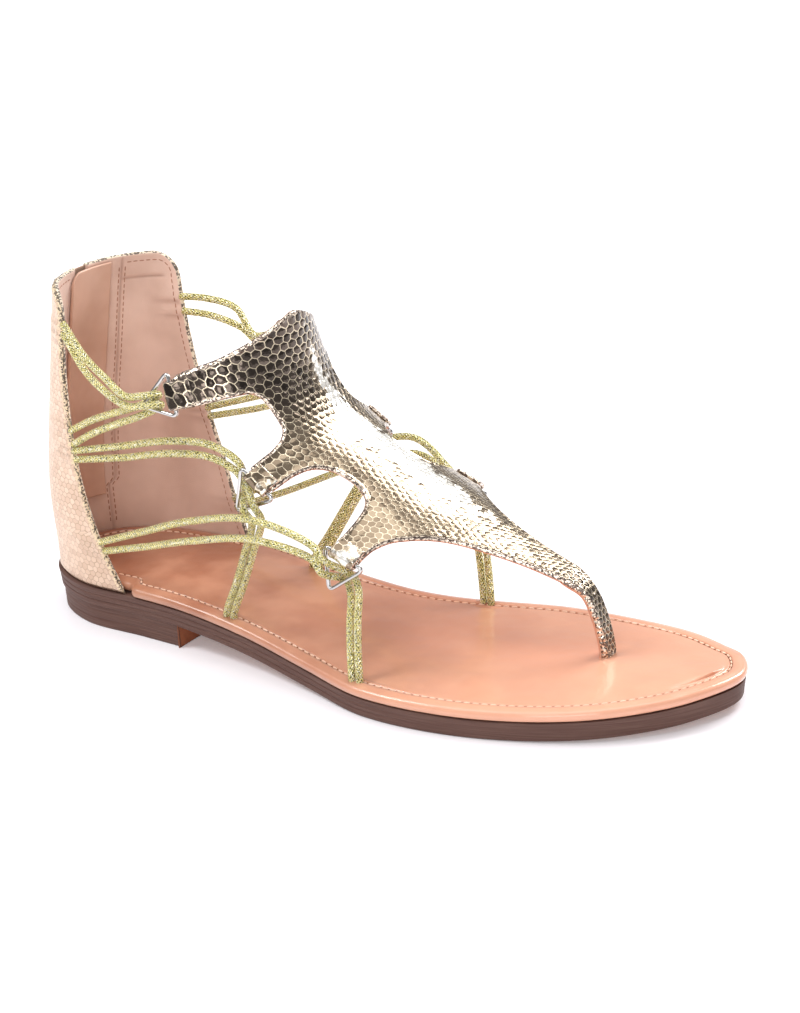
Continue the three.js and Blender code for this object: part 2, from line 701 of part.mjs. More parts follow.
// Footbed: wrapped board with a rolled edge, a stitched groove, a padded crown, and slots for cords and post.
function footbed() {
  const crown = (y, share) => footbedCrown * Math.sin(Math.PI * share);
  const flat = (part) => (x) => footbedBottom(x) + footbedThickness * part;
  const ring = (inset, height) => ({
    inset: (p) => footbedInset(p) + inset,
    height,
    cap: (x, y, share) => height(x) + crown(y, share),
  });
  const bottom = ring(0.8, flat(0));
  bottom.cap = flat(0);
  const rows = [
    bottom,
    ring(0.1, flat(0.25)),
    ring(0, flat(0.55)),
    ring(0.5, flat(0.88)),
    ring(1.6, flat(1)),
    ring(grooveInset - 0.7, flat(1)),
    ring(grooveInset, (x) => footbedTop(x) - grooveDepth),
    ring(grooveInset + 0.9, flat(1.02)),
  ];
  let board = toSolid(slab(rows, 5));
  const axes = [vector(1, 0, 0), vector(0, 1, 0), vector(0, 0, 1)];
  const cordSlot = roundedRectangle(
    cordPitch + 2 * (cordRadius + cordClearance),
    2 * (cordRadius + cordClearance),
    cordRadius + cordClearance - 0.05,
  );
  SIDES.forEach((side) => ['rear', 'front'].forEach((place) => {
    const { x, y } = slotCentre(side, place);
    const cut = prism(cordSlot, footbedThickness * 4, axes, vector(x, y, footbedTop(x)), 3);
    board = board.subtract(toSolid(cut));
  }));
  const postSlot = roundedRectangle(postThickness + 2 * postClearance, postWidth + 2 * postClearance, 1);
  const foot = postFoot();
  const cut = prism(postSlot, footbedThickness * 4, axes, vector(foot.x, foot.y, footbedTop(foot.x)), 3);
  return toGeometry(board.subtract(toSolid(cut)));
}

function slotCentre(side, place) {
  const slot = SLOTS[side.name][place];
  return { x: slot.at * footLength, y: side.sign * slot.reach * ballWidth };
}

// Where the toe post enters the footbed.
function postFoot() {
  return { x: postPlace * footLength, y: postShift * ballWidth };
}

// Spine of the vamp in the middle plane: a curve from the peak to the bend, then the post down to its slot.
const bridgeCurve = new THREE.CatmullRomCurve3(
  SPINE.map((row) => vector(row.x * footLength, 0, row.z * instepHeight)),
  false,
  'centripetal',
);
const bridgeLength = bridgeCurve.getLength();
const bridgeEnd = bridgeCurve.getPointAt(1);

const postCurve = (() => {
  const foot = postFoot();
  const top = footbedTop(foot.x);
  const lean = postLean * footLength;
  return new THREE.CatmullRomCurve3([
    bridgeEnd,
    vector(bridgeEnd.x + (foot.x - bridgeEnd.x) * 0.52, 0, top + (bridgeEnd.z - top) * 0.80),
    vector(foot.x - lean, 0, top + (bridgeEnd.z - top) * 0.48),
    vector(foot.x, 0, top + postDepth),
    vector(foot.x, 0, top),
    vector(foot.x, 0, top - postDepth),
  ], false, 'centripetal');
})();

// The middle line's place across the foot, from the ankle to the post.
function spineShift(x) {
  const start = SPINE[0].x * footLength;
  const share = Math.min(1, (x - start) / (postFoot().x - start));
  return ballWidth * (spineStartShift + (postShift - spineStartShift) * share);
}

// Frame of the vamp at a place along its spine (0 to 1 the bridge, 1 to 2 the post).
function spineFrame(along) {
  const curve = along <= 1 ? bridgeCurve : postCurve;
  const t = along <= 1 ? along : along - 1;
  const point = curve.getPointAt(Math.min(1, t));
  const tangent = curve.getTangentAt(Math.min(1, t));
  const normal = vector(-tangent.z, 0, tangent.x);
  if (normal.x < 0) normal.negate();
  const share = Math.min(1, along) * (SPINE.length - 1);
  const arch = read(SPINE.map((row, i) => ({ ...row, i })), 'i', share, 'arch') * ballWidth;
  return { point: point.setY(spineShift(point.x)), tangent, normal, arch };
}

// A point of the vamp: along its spine, across its arch by a length, and off its middle layer.
function vampPoint(along, across, off) {
  const { point, normal, arch } = spineFrame(along);
  const angle = across / arch;
  const radius = arch + off;
  const y = radius * Math.sin(angle);
  const drop = arch - radius * Math.cos(angle);
  return point.clone().addScaledVector(normal, -drop).add(vector(0, y, 0));
}

// Vamp body before its loops: the bridge with its tabs and the folded post.
function vampBody() {
  const columns = 8;
  const stretch = [];
  VAMP_HALF.forEach((row, i) => {
    stretch.push({ along: row.along, half: row.half * ballWidth });
    const next = VAMP_HALF[i + 1];
    if (!next) return;
    const gap = (next.along - row.along) * bridgeLength;
    const extra = Math.floor(gap / 8);
    for (let k = 1; k <= extra; k += 1) {
      const along = row.along + ((next.along - row.along) * k) / (extra + 1);
      stretch.push({ along, half: read(VAMP_HALF, 'along', along, 'half') * ballWidth });
    }
  });
  [0.08, 0.2, 0.32, 0.46, 0.62, 0.8, 1].forEach((t) => {
    const half = postWidth / 2 + (VAMP_HALF[VAMP_HALF.length - 1].half * ballWidth - postWidth / 2)
      * (1 - ease(t, 0, 0.3));
    stretch.push({ along: 1 + t, half });
  });
  const face = (sign) => stretch.map(({ along, half }) => {
    const fold = ease(along, 0.9, 1.15);
    const off = (sign * (vampWall + (postThickness - vampWall) * fold)) / 2;
    return Array.from({ length: columns + 1 }, (_, j) => (
      vampPoint(along, half * (-1 + (2 * j) / columns), off).toArray()));
  });
  return toSolid(shell(face(-1), face(1)));
}

// Frame of a ring: the middle of its bar, the bar's way, the pull and the way off its plane.
function ringFrame(ring, side) {
  const reach = side.sign * (ring.reach * ballWidth + loopWall * 1.1);
  const step = loopLength / 2 / bridgeLength;
  const origin = vampPoint(ring.along, reach, 0);
  const bar = vampPoint(ring.along + step, reach, 0).sub(vampPoint(ring.along - step, reach, 0)).normalize();
  const pull = vector(-ring.back, side.sign * ring.out, -ring.down);
  pull.addScaledVector(bar, -pull.dot(bar)).normalize();
  const off = new THREE.Vector3().crossVectors(bar, pull).normalize();
  if (off.y * side.sign < 0) off.negate();
  return { origin, bar, pull, off };
}

// The vamp with a folded loop round the bar of each ring.
function vamp() {
  let solid = vampBody();
  const outerRadius = wireRadius + seam + 0.1 + loopWall;
  const section = new THREE.Shape();
  section.absarc(0, 0, outerRadius, 0, Math.PI * 2);
  const bore = new THREE.Path();
  bore.absarc(0, 0, outerRadius - loopWall, 0, Math.PI * 2, true);
  section.holes.push(bore);
  RINGS.forEach((ring) => SIDES.forEach((side) => {
    const { origin, bar, pull } = ringFrame(ring, side);
    const axes = [pull.clone(), new THREE.Vector3().crossVectors(bar, pull), bar.clone()];
    const loop = toSolid(prism(section, loopLength, axes, origin, 5));
    const hole = new THREE.Shape();
    hole.absarc(0, 0, outerRadius - loopWall, 0, Math.PI * 2);
    const clear = toSolid(prism(hole, loopLength * 2, axes, origin, 5));
    solid = solid.add(loop).subtract(clear);
  }));
  return toGeometry(solid);
}

// Corners of a triangular ring in its own plane: the bar's two ends and the tip.
const RING_CORNERS = [
  [-ringSide / 2, 0],
  [ringSide / 2, 0],
  [0, ringSide * Math.sin(Math.PI / 3)],
];

// A wire ring: an even triangle with round corners, swept as a closed tube.
function wireRing(ring, side) {
  const frame = ringFrame(ring, side);
  const path = new THREE.CurvePath();
  const place = ([u, v]) => onRing(frame, u, v, 0);
  const toward = (a, b) => [
    a[0] + ((b[0] - a[0]) * ringCorner) / ringSide,
    a[1] + ((b[1] - a[1]) * ringCorner) / ringSide,
  ];
  RING_CORNERS.forEach((corner, i) => {
    const before = RING_CORNERS[(i + 2) % 3];
    const after = RING_CORNERS[(i + 1) % 3];
    const end = place(toward(corner, after));
    path.add(new THREE.QuadraticBezierCurve3(place(toward(corner, before)), place(corner), end));
    path.add(new THREE.LineCurve3(end, place(toward(after, corner))));
  });
  return sweptLoop(path, 15, 5, wireRadius);
}

// A place on a ring's rear wire (from the bar's heel end to the tip) or its front wire (from the tip on),
// moved out of the triangle by a length and off its plane by another.
function onWire(frame, wire, share, away, off) {
  const tilt = Math.PI / 3;
  const [from, to, sign] = wire === 'rear'
    ? [RING_CORNERS[0], RING_CORNERS[2], -1]
    : [RING_CORNERS[2], RING_CORNERS[1], 1];
  const u = from[0] + (to[0] - from[0]) * share + sign * Math.sin(tilt) * away;
  const v = from[1] + (to[1] - from[1]) * share + Math.cos(tilt) * away;
  return onRing(frame, u, v, off);
}

// A closed tube along a closed path that lies in one plane.
function sweptLoop(path, steps, sides, radius) {
  const centres = Array.from({ length: steps }, (_, i) => path.getPointAt(i / steps));
  const centre = centres.reduce((sum, p) => sum.add(p), vector(0, 0, 0)).multiplyScalar(1 / steps);
  const flat = new THREE.Vector3().crossVectors(
    centres[0].clone().sub(centre),
    centres[Math.floor(steps / 4)].clone().sub(centre),
  ).normalize();
  const points = [];
  const triangles = [];
  centres.forEach((p, i) => {
    const along = centres[(i + 1) % steps].clone().sub(centres[(i + steps - 1) % steps]).normalize();
    const across = new THREE.Vector3().crossVectors(flat, along);
    for (let j = 0; j < sides; j += 1) {
      const angle = (2 * Math.PI * j) / sides;
      const q = p.clone()
        .addScaledVector(across, radius * Math.cos(angle))
        .addScaledVector(flat, radius * Math.sin(angle));
      points.push(q.toArray());
      const a = i * sides + j;
      const b = i * sides + ((j + 1) % sides);
      const c = ((i + 1) % steps) * sides + j;
      const d = ((i + 1) % steps) * sides + ((j + 1) % sides);
      triangles.push([a, b, c], [b, d, c]);
    }
  });
  return solidGeometry(points, triangles);
}

// Where a cord leaves the counter's front edge.
function anchorPoint(run, which, side) {
  const up = ANCHORS[run][which];
  const edge = counterPoint(side.sign, up, counterWall / 2);
  return vector(edge[0] + cordStart, edge[1], edge[2]);
}

// Points of a free stretch between two ends, bowed by a table's rows.
function stretchPoints(from, to, rows, side) {
  return rows.map((row) => from.clone().lerp(to, row.at).add(vector(0, side.sign * row.out, row.up)));
}

// A point given in a ring's own frame.
function onRing(frame, u, v, w) {
  return frame.origin.clone()
    .addScaledVector(frame.bar, u)
    .addScaledVector(frame.pull, v)
    .addScaledVector(frame.off, w);
}

// A round cord along smooth points, closed at both ends, with even steps between each two points.
function cord(points) {
  const circle = new THREE.Shape();
  circle.absarc(0, 0, cordRadius, 0, Math.PI * 2);
  const extrudePath = new THREE.CatmullRomCurve3(points, false, 'centripetal');
  extrudePath.getUtoTmapping = (share) => share;
  const steps = (points.length - 1) * CORD_STEPS;
  return new THREE.ExtrudeGeometry(circle, { steps, extrudePath, curveSegments: 3, bevelEnabled: false });
}

// Cord from the counter round the upper ring's tip and back to the counter below: it comes outside the
// ring and returns inside it.
function upperCord(which, side) {
  const frame = ringFrame(RINGS[0], side);
  const lane = (which - 0.5) * (cordPitch + 1.5 * cordClearance);
  const turn = TIP_TURN.map((row) => onRing(frame, lane + row.lean, RING_CORNERS[2][1] + row.behind, row.off));
  const high = side.name === 'inner' ? 'highInner' : 'highOuter';
  const start = anchorPoint(high, which, side);
  const end = anchorPoint('tie', which, side);
  return cord([
    start,
    ...stretchPoints(start, turn[0], BOWS[high][which], side),
    ...turn,
    ...stretchPoints(turn[turn.length - 1], end, BOWS.tie[which], side),
    end,
  ]);
}

// Cord from the counter through a ring and down into the footbed. The pass says on which side of the rear
// wire it enters; it leaves on the other side of the front wire.
function droppingCord(which, side, ring, run, drop, place, pass) {
  const frame = ringFrame(ring, side);
  const { rear, front, lift } = DROP_WRAP[which];
  const slide = (0.5 - which) * cordPitch;
  const off = pass * lift * cordClear;
  const start = anchorPoint(run, which, side);
  const arrive = onWire(frame, 'rear', rear - 0.28, cordClear * 1.3, off);
  const leave = onWire(frame, 'front', front, cordClear * 2, -off / 2);
  const slot = slotCentre(side, place);
  const mouth = vector(slot.x + slide, slot.y, footbedTop(slot.x) + cordRadius);
  const end = vector(slot.x + slide, slot.y, footbedBottom(slot.x) + 2 * seam);
  return cord([
    start,
    ...stretchPoints(start, arrive, BOWS[run][which], side),
    arrive,
    onWire(frame, 'rear', rear, 0, off),
    onWire(frame, 'front', front, 0, -off),
    leave,
    ...stretchPoints(leave, mouth, BOWS[drop][which], side),
    mouth,
    end,
  ]);
}

const COLOURS = {
  sole: { color: '#5b453c', roughness: 0.62, metalness: 0 },
  footbed: { color: '#d08d6a', roughness: 0.42, metalness: 0 },
  counter: { color: '#d9b59a', roughness: 0.5, metalness: 0.2 },
  guard: { color: '#c09a80', roughness: 0.45, metalness: 0 },
  tape: { color: '#b89a84', roughness: 0.8, metalness: 0 },
  metal: { color: '#c9c9c6', roughness: 0.25, metalness: 1 },
  pull: { color: '#cdb8a4', roughness: 0.5, metalness: 0 },
  vamp: { color: '#c2ab84', roughness: 0.3, metalness: 0.8 },
  cord: { color: '#c7bb5c', roughness: 0.45, metalness: 0.3 },
};

const sandal = new THREE.Group();
sandal.position.x = -heelCentre;

function put(name, geometry, look) {
  const mesh = new THREE.Mesh(geometry, new THREE.MeshStandardMaterial(COLOURS[look]));
  mesh.name = name;
  sandal.add(mesh);
}

put('outsole', outsole(), 'sole');
put('footbed', footbed(), 'footbed');
put('counter', counter(), 'counter');
put('zip_guard', zipGuard(), 'guard');
put('zip_tape', zipTape(), 'tape');
put('zip_slider', zipSlider(), 'metal');
put('zip_pull', zipPull(), 'pull');
put('vamp', vamp(), 'vamp');
SIDES.forEach((side) => {
  RINGS.forEach((ring) => put(`ring_${ring.name}_${side.name}`, wireRing(ring, side), 'metal'));
  [0, 1].forEach((which) => {
    const number = which + 1;
    put(`cord_upper_${side.name}_${number}`, upperCord(which, side), 'cord');
    put(
      `cord_middle_${side.name}_${number}`,
      droppingCord(which, side, RINGS[1], 'side', 'sideDrop', 'rear', -1),
      'cord',
    );
    put(
      `cord_lower_${side.name}_${number}`,
      droppingCord(which, side, RINGS[2], 'low', 'lowDrop', 'front', 1),
      'cord',
    );
  });
});

export default sandal;
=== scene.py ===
"""Looks of a right gladiator sandal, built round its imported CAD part.

Shapes are worked out in millimetres: x from the back of the heel to the toe, y from the middle line to the
inner side of the foot, z up from the floor. They are placed in metres, with the origin under the heel.
"""

import math

import bpy
import numpy as np
from mathutils import Matrix, Vector


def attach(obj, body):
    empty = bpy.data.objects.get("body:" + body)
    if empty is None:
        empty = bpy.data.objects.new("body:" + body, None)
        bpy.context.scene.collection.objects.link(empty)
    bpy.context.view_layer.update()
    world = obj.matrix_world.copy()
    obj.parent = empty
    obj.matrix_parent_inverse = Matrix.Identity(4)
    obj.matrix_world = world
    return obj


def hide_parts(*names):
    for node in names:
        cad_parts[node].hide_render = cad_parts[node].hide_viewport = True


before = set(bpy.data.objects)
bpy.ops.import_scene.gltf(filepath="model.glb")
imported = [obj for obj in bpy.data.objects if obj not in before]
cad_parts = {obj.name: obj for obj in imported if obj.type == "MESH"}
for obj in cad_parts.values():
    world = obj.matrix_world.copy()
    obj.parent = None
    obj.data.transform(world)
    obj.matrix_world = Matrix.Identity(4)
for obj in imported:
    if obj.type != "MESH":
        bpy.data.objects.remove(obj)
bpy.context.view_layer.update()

MM = 0.001
TURN = 2 * math.pi

# Driving dimensions of the sole.
FOOT_LENGTH = 246
BALL_WIDTH = 84
HEEL_CENTRE = 28
HEEL_LENGTH = 67
HEEL_LIFT = 7.5
TOE_SPRING = 2.6
OUTSOLE_THICKNESS = 6.2
OUTSOLE_TAPER = 1.4
RIB_DEPTH = 0.3
BREAST_PLACE = 65
BREAST_BOW = 4
HEEL_LINE_DEPTH = 0.22
HEEL_OVERLAP = 0.15 * OUTSOLE_THICKNESS
FOOTBED_THICKNESS = 3.4
FOOTBED_OVERHANG = 0.5
FOOTBED_CROWN = 1.1
GROOVE_INSET = 5
GROOVE_DEPTH = 0.75
SEAM = 0.3

# Driving dimensions of the counter and its zip.
COUNTER_HEIGHT = 100
COUNTER_WIDTH = 57
COUNTER_WALL = 2
COUNTER_INSET = 0.7
SEAT_CLEARANCE = 0.1
COUNTER_CORNER = 9
FOOT_BLEND = 0.35
ZIP_WIDTH = 5
ZIP_START = 20
TOOTH_PITCH = 1.3
GUARD_THICKNESS = 1.1
GUARD_START = 16
GUARD_TOP = 98.5
GUARD_INNER_REACH = 13
GUARD_OUTER_REACH = 6
GUARD_CORNER = 4.5
LINING_SEAM = 14.8
SLIDER_LENGTH = 9
SLIDER_WIDTH = 6.4
SLIDER_HEIGHT = 2.6
SLIDER_DROP = 7
TEETH_HEIGHT = 0.5
PULL_LENGTH = 31
PULL_WIDTH = 5
PULL_THICKNESS = 1.5
PULL_BORE = 0.9
PULL_EYE_WALL = 0.8
PIN_RADIUS = 0.6

# Driving dimensions of the vamp, its rings and the cords.
INSTEP_HEIGHT = 110.5
VAMP_WALL = 1.6
POST_WIDTH = 7
POST_THICKNESS = 3
POST_DEPTH = 2.6
POST_PLACE = 0.8228
POST_LEAN = 0.0085
POST_SHIFT = 0.106
SPINE_START_SHIFT = -0.03
WIRE_RADIUS = 0.65
LOOP_WALL = 1.25
LOOP_LENGTH = 8
LOOP_CLEARANCE = 0.1
LONGEST_SHORT_FOLD = 6
RING_SIDE = 14.5
RING_CORNER = 2.4
CORD_RADIUS = 1.2
CORD_PITCH = 2.75
CORD_CLEARANCE = 0.3
CORD_START = 0.9
CORD_STEP = 0.6
CORD_CLEAR = WIRE_RADIUS + CORD_RADIUS + CORD_CLEARANCE

# Sole outline: share of the foot's length, then each side's reach as a share of the ball width.
SOLE_OUTLINE = {
    "at": (0.03, 0.10, 0.20, 0.30, 0.40, 0.50, 0.60, 0.70, 0.80, 0.88, 0.94, 0.975),
    "inner": (0.204, 0.312, 0.337, 0.318, 0.295, 0.312, 0.387, 0.464, 0.476, 0.445, 0.371, 0.311),
    "outer": (0.193, 0.312, 0.330, 0.351, 0.388, 0.456, 0.536, 0.533, 0.461, 0.348, 0.199, 0.061),
}
TOE_TIP = 0.155
WAIST_START = 0.22
TREAD_START = 0.6
SPRING_START = 0.72

# Counter sections: share of the height, back line, half width, roundness, and each front edge.
COUNTER = {
    "up": (0.00, 0.15, 0.30, 0.45, 0.62, 0.80, 1.00),
    "back": (0.0070, 0.0045, 0.0070, 0.0140, 0.0255, 0.0380, 0.0520),
    "half": (0.470, 0.485, 0.490, 0.492, 0.495, 0.500, 0.505),
    "round": (0.50, 0.50, 0.49, 0.47, 0.44, 0.42, 0.40),
    "inner": (0.230, 0.208, 0.191, 0.172, 0.154, 0.140, 0.131),
    "outer": (0.176, 0.146, 0.128, 0.116, 0.109, 0.108, 0.115),
}

# Vamp spine from the ankle's peak to the toe post: shares of length and instep height, arch radius.
SPINE = {
    "x": (0.4057, 0.4200, 0.4600, 0.5207, 0.5943, 0.6805, 0.7740),
    "z": (1.000, 0.818, 0.684, 0.588, 0.500, 0.410, 0.325),
    "arch": (0.26, 0.43, 0.60, 0.67, 0.69, 0.58, 0.52),
}

# Half width of the vamp: share of the spine's length, share of the ball width.
VAMP_HALF = {
    "along": (
        0.000, 0.010, 0.035, 0.070, 0.102, 0.146, 0.150, 0.156, 0.180, 0.222, 0.250, 0.272, 0.283, 0.288,
        0.350, 0.355, 0.364, 0.382, 0.415, 0.463, 0.506, 0.530, 0.538, 0.543, 0.614, 0.620, 0.664, 0.745,
        0.840, 0.925, 1.000,
    ),
    "half": (
        0.014, 0.062, 0.165, 0.330, 0.525, 0.518, 0.340, 0.262, 0.225, 0.215, 0.218, 0.250, 0.310, 0.410,
        0.414, 0.330, 0.270, 0.226, 0.196, 0.188, 0.210, 0.262, 0.330, 0.438, 0.446, 0.380, 0.268, 0.170,
        0.114, 0.082, 0.066,
    ),
}

# Rings: middle of the tab along the spine, its reach, the way the cords pull, and the tab's fold.
RINGS = {
    "upper": {"along": 0.124, "reach": 0.522, "back": 0.93, "out": 0.06, "down": 0.36, "fold": 7.0},
    "middle": {"along": 0.319, "reach": 0.412, "back": 0.24, "out": 0.10, "down": 0.96, "fold": 4.6},
    "lower": {"along": 0.578, "reach": 0.442, "back": 0.38, "out": 0.10, "down": 0.92, "fold": 4.6},
}
SLOTS = {
    ("inner", "rear"): (0.356, 0.232),
    ("inner", "front"): (0.598, 0.345),
    ("outer", "rear"): (0.356, 0.337),
    ("outer", "front"): (0.584, 0.492),
}
ANCHORS = {
    "high_outer": (0.885, 0.853),
    "high_inner": (0.845, 0.795),
    "tie": (0.545, 0.500),
    "side": (0.475, 0.445),
    "low": (0.170, 0.140),
}

# Turn of a cord round the upper ring's tip: how far behind the tip, how far off the ring's plane, and how
# far it leans along the bar.
TIP_TURN = ((4.0, 2.35, -2.8), (-2.6, 2.9, -0.8), (-7.2, 0, 0), (-2.6, -2.9, 0.2), (4.3, -2.35, 0.6))

# Where the two cords of a pair cross the lower rings' wires: rear share, front share, lift.
DROP_WRAP = ((0.26, 0.58, 1.2), (0.54, 0.34, 1.6))

# Runs that drop through a ring: the first stretch, the slot, and the side of the rear wire they enter on.
DROPS = {"middle": ("side", "rear", -1), "lower": ("low", "front", 1)}

# Bows of the free stretches, a row of (share of the way, out, up) for each cord.
BOWS = {
    "high_outer": (((0.32, 0.4, -2.2), (0.7, 0.8, -0.8)), ((0.32, 0.6, -3.6), (0.7, 1.2, -2.2))),
    "high_inner": (((0.3, 0.6, 3.2), (0.7, 1.8, 4.8)), ((0.3, 0.6, 1.8), (0.7, 1.8, 1.6))),
    "tie": (((0.35, 0.4, 0.6), (0.7, 0.2, 0.8)), ((0.35, 0.4, 0.6), (0.7, 0.2, 0.8))),
    "side": (
        ((0.3, 0.6, 2.8), (0.6, 0.8, 5.6), (0.85, 0.4, 5.0)),
        ((0.3, 0.6, 2.2), (0.6, 0.8, 5.0), (0.85, 0.4, 4.6)),
    ),
    "side_drop": (((0.35, -1.0, 0), (0.7, -0.8, 0)), ((0.35, -1.0, 0), (0.7, -0.8, 0))),
    "low": (
        ((0.22, 1.6, 4.2), (0.5, 5.0, 9.4), (0.8, 6.2, 10.2)),
        ((0.22, 1.6, 2.6), (0.5, 5.0, 6.6), (0.8, 6.2, 8.0)),
    ),
    "low_drop": (((0.35, 0.6, 0), (0.7, 0.6, 0)), ((0.35, 0.6, 0), (0.7, 0.6, 0))),
}
SIDES = {"inner": 1, "outer": -1}

# Counts of points: round the sole's outline, over the footbed's top, and up and along a counter's panel.
EDGE_COLUMNS = 480
CAP_ROWS = 44
PANEL_COUNTS = (110, 130)

# How deep a second layer lies, from which a sheet's normals are taken, in millimetres.
NORMAL_STEP = 0.5

# Sizes of a tube's last three rings, as shares of its radius.
END_TAPER = (0, 0.6, 0.9)

# Height of a row of six-sided cells whose width is one.
HEX_ROW = math.sqrt(0.75)


def ease(x, start, end):
    """Smooth step: 3t^2 - 2t^3 of the share t of the way from start to end, held at 0 and 1 outside."""
    t = np.clip((np.asarray(x, float) - start) / (end - start), 0, 1)
    return t * t * (3 - 2 * t)


def bell(x, width):
    """Bell: e to the power of minus (x / width) squared."""
    return np.exp(-((np.asarray(x, float) / width) ** 2))


def unit(v):
    """Vectors divided by their lengths."""
    return v / np.linalg.norm(v, axis=-1, keepdims=True)


def run_along(points, axis=0):
    """Length run along an axis of a grid of points: zero at its start, then the sum of the steps so far."""
    steps = np.linalg.norm(np.diff(points, axis=axis), axis=-1)
    return np.concatenate([0 * steps.take([0], axis=axis), np.cumsum(steps, axis=axis)], axis=axis)


def along_run(at, run, values):
    """Three-part values along a path at given lengths, each blended between the two rows beside it."""
    return np.stack([np.interp(at, run, values[:, k]) for k in range(3)], axis=-1)


def ends_dense(count):
    """Shares from 0 to 1, (1 - cos(pi i / n)) / 2, closer together at both ends."""
    return (1 - np.cos(np.linspace(0, math.pi, count))) / 2


def hermite(a, b, slope_a, slope_b, t):
    """Cubic from a to b with the given end slopes, at t from 0 to 1."""
    t2 = t * t
    t3 = t2 * t
    return (
        (2 * t3 - 3 * t2 + 1) * a
        + (t3 - 2 * t2 + t) * slope_a
        + (3 * t2 - 2 * t3) * b
        + (t3 - t2) * slope_b
    )


def smooth_table(knots, values, x):
    """Cubic through a table whose slope at a row is that of the line between its two neighbours."""
    k = np.asarray(knots, float)
    y = np.asarray(values, float)
    low = np.maximum(np.arange(len(k)) - 1, 0)
    high = np.minimum(np.arange(len(k)) + 1, len(k) - 1)
    slope = (y[high] - y[low]) / (k[high] - k[low])
    x = np.clip(np.asarray(x, float), k[0], k[-1])
    i = np.clip(np.searchsorted(k, x, side="right") - 1, 0, len(k) - 2)
    h = k[i + 1] - k[i]
    return hermite(y[i], y[i + 1], slope[i] * h, slope[i + 1] * h, (x - k[i]) / h)


def steady_table(knots, values, x):
    """Cubic through a table that never overshoots: slopes are harmonic means of the steps beside a row."""
    k = np.asarray(knots, float)
    y = np.asarray(values, float)
    h = np.diff(k)
    step = np.diff(y) / h
    near = 2 * h[1:] + h[:-1]
    far = h[1:] + 2 * h[:-1]
    same = step[:-1] * step[1:] > 0
    before = np.where(same, step[:-1], 1)
    after = np.where(same, step[1:], 1)
    middle = np.where(same, (near + far) / (near / before + far / after), 0)
    slope = np.concatenate([step[:1], middle, step[-1:]])
    x = np.clip(np.asarray(x, float), k[0], k[-1])
    i = np.clip(np.searchsorted(k, x, side="right") - 1, 0, len(h) - 1)
    return hermite(y[i], y[i + 1], slope[i] * h[i], slope[i + 1] * h[i], (x - k[i]) / h[i])


def spline(points, closed=False):
    """Centripetal Catmull-Rom curve through the points: place(t) for t from 0 to 1, a cubic for each span
    whose end slopes weigh the neighbouring chords by the square roots of their lengths."""
    knots = np.asarray(points, float)
    if closed:
        padded = np.vstack([knots[-1:], knots, knots[:2]])
    else:
        padded = np.vstack([2 * knots[0] - knots[1], knots, 2 * knots[-1] - knots[-2]])
    spans = len(padded) - 3
    gaps = np.sqrt(np.linalg.norm(np.diff(padded, axis=0), axis=1))

    def place(t):
        """Places on the curve: the cubic of the span that holds each t."""
        s = np.clip(np.asarray(t, float), 0, 1) * spans
        i = np.minimum(s.astype(int), spans - 1)
        w = (s - i)[..., None]
        p0, p1, p2, p3 = (padded[i + k] for k in range(4))
        d0, d1, d2 = (gaps[i + k][..., None] for k in range(3))
        a = ((p1 - p0) / d0 - (p2 - p0) / (d0 + d1) + (p2 - p1) / d1) * d1
        b = ((p2 - p1) / d1 - (p3 - p1) / (d1 + d2) + (p3 - p2) / d2) * d1
        return hermite(p1, p2, a, b, w)

    return place


def by_length(place, fine=6000):
    """The same curve read by its share of length, and the length itself."""
    t = np.linspace(0, 1, fine + 1)
    run = run_along(place(t))

    def at(share):
        """Places at shares of the curve's length."""
        return place(np.interp(np.asarray(share, float) * run[-1], run, t))

    return at, float(run[-1])


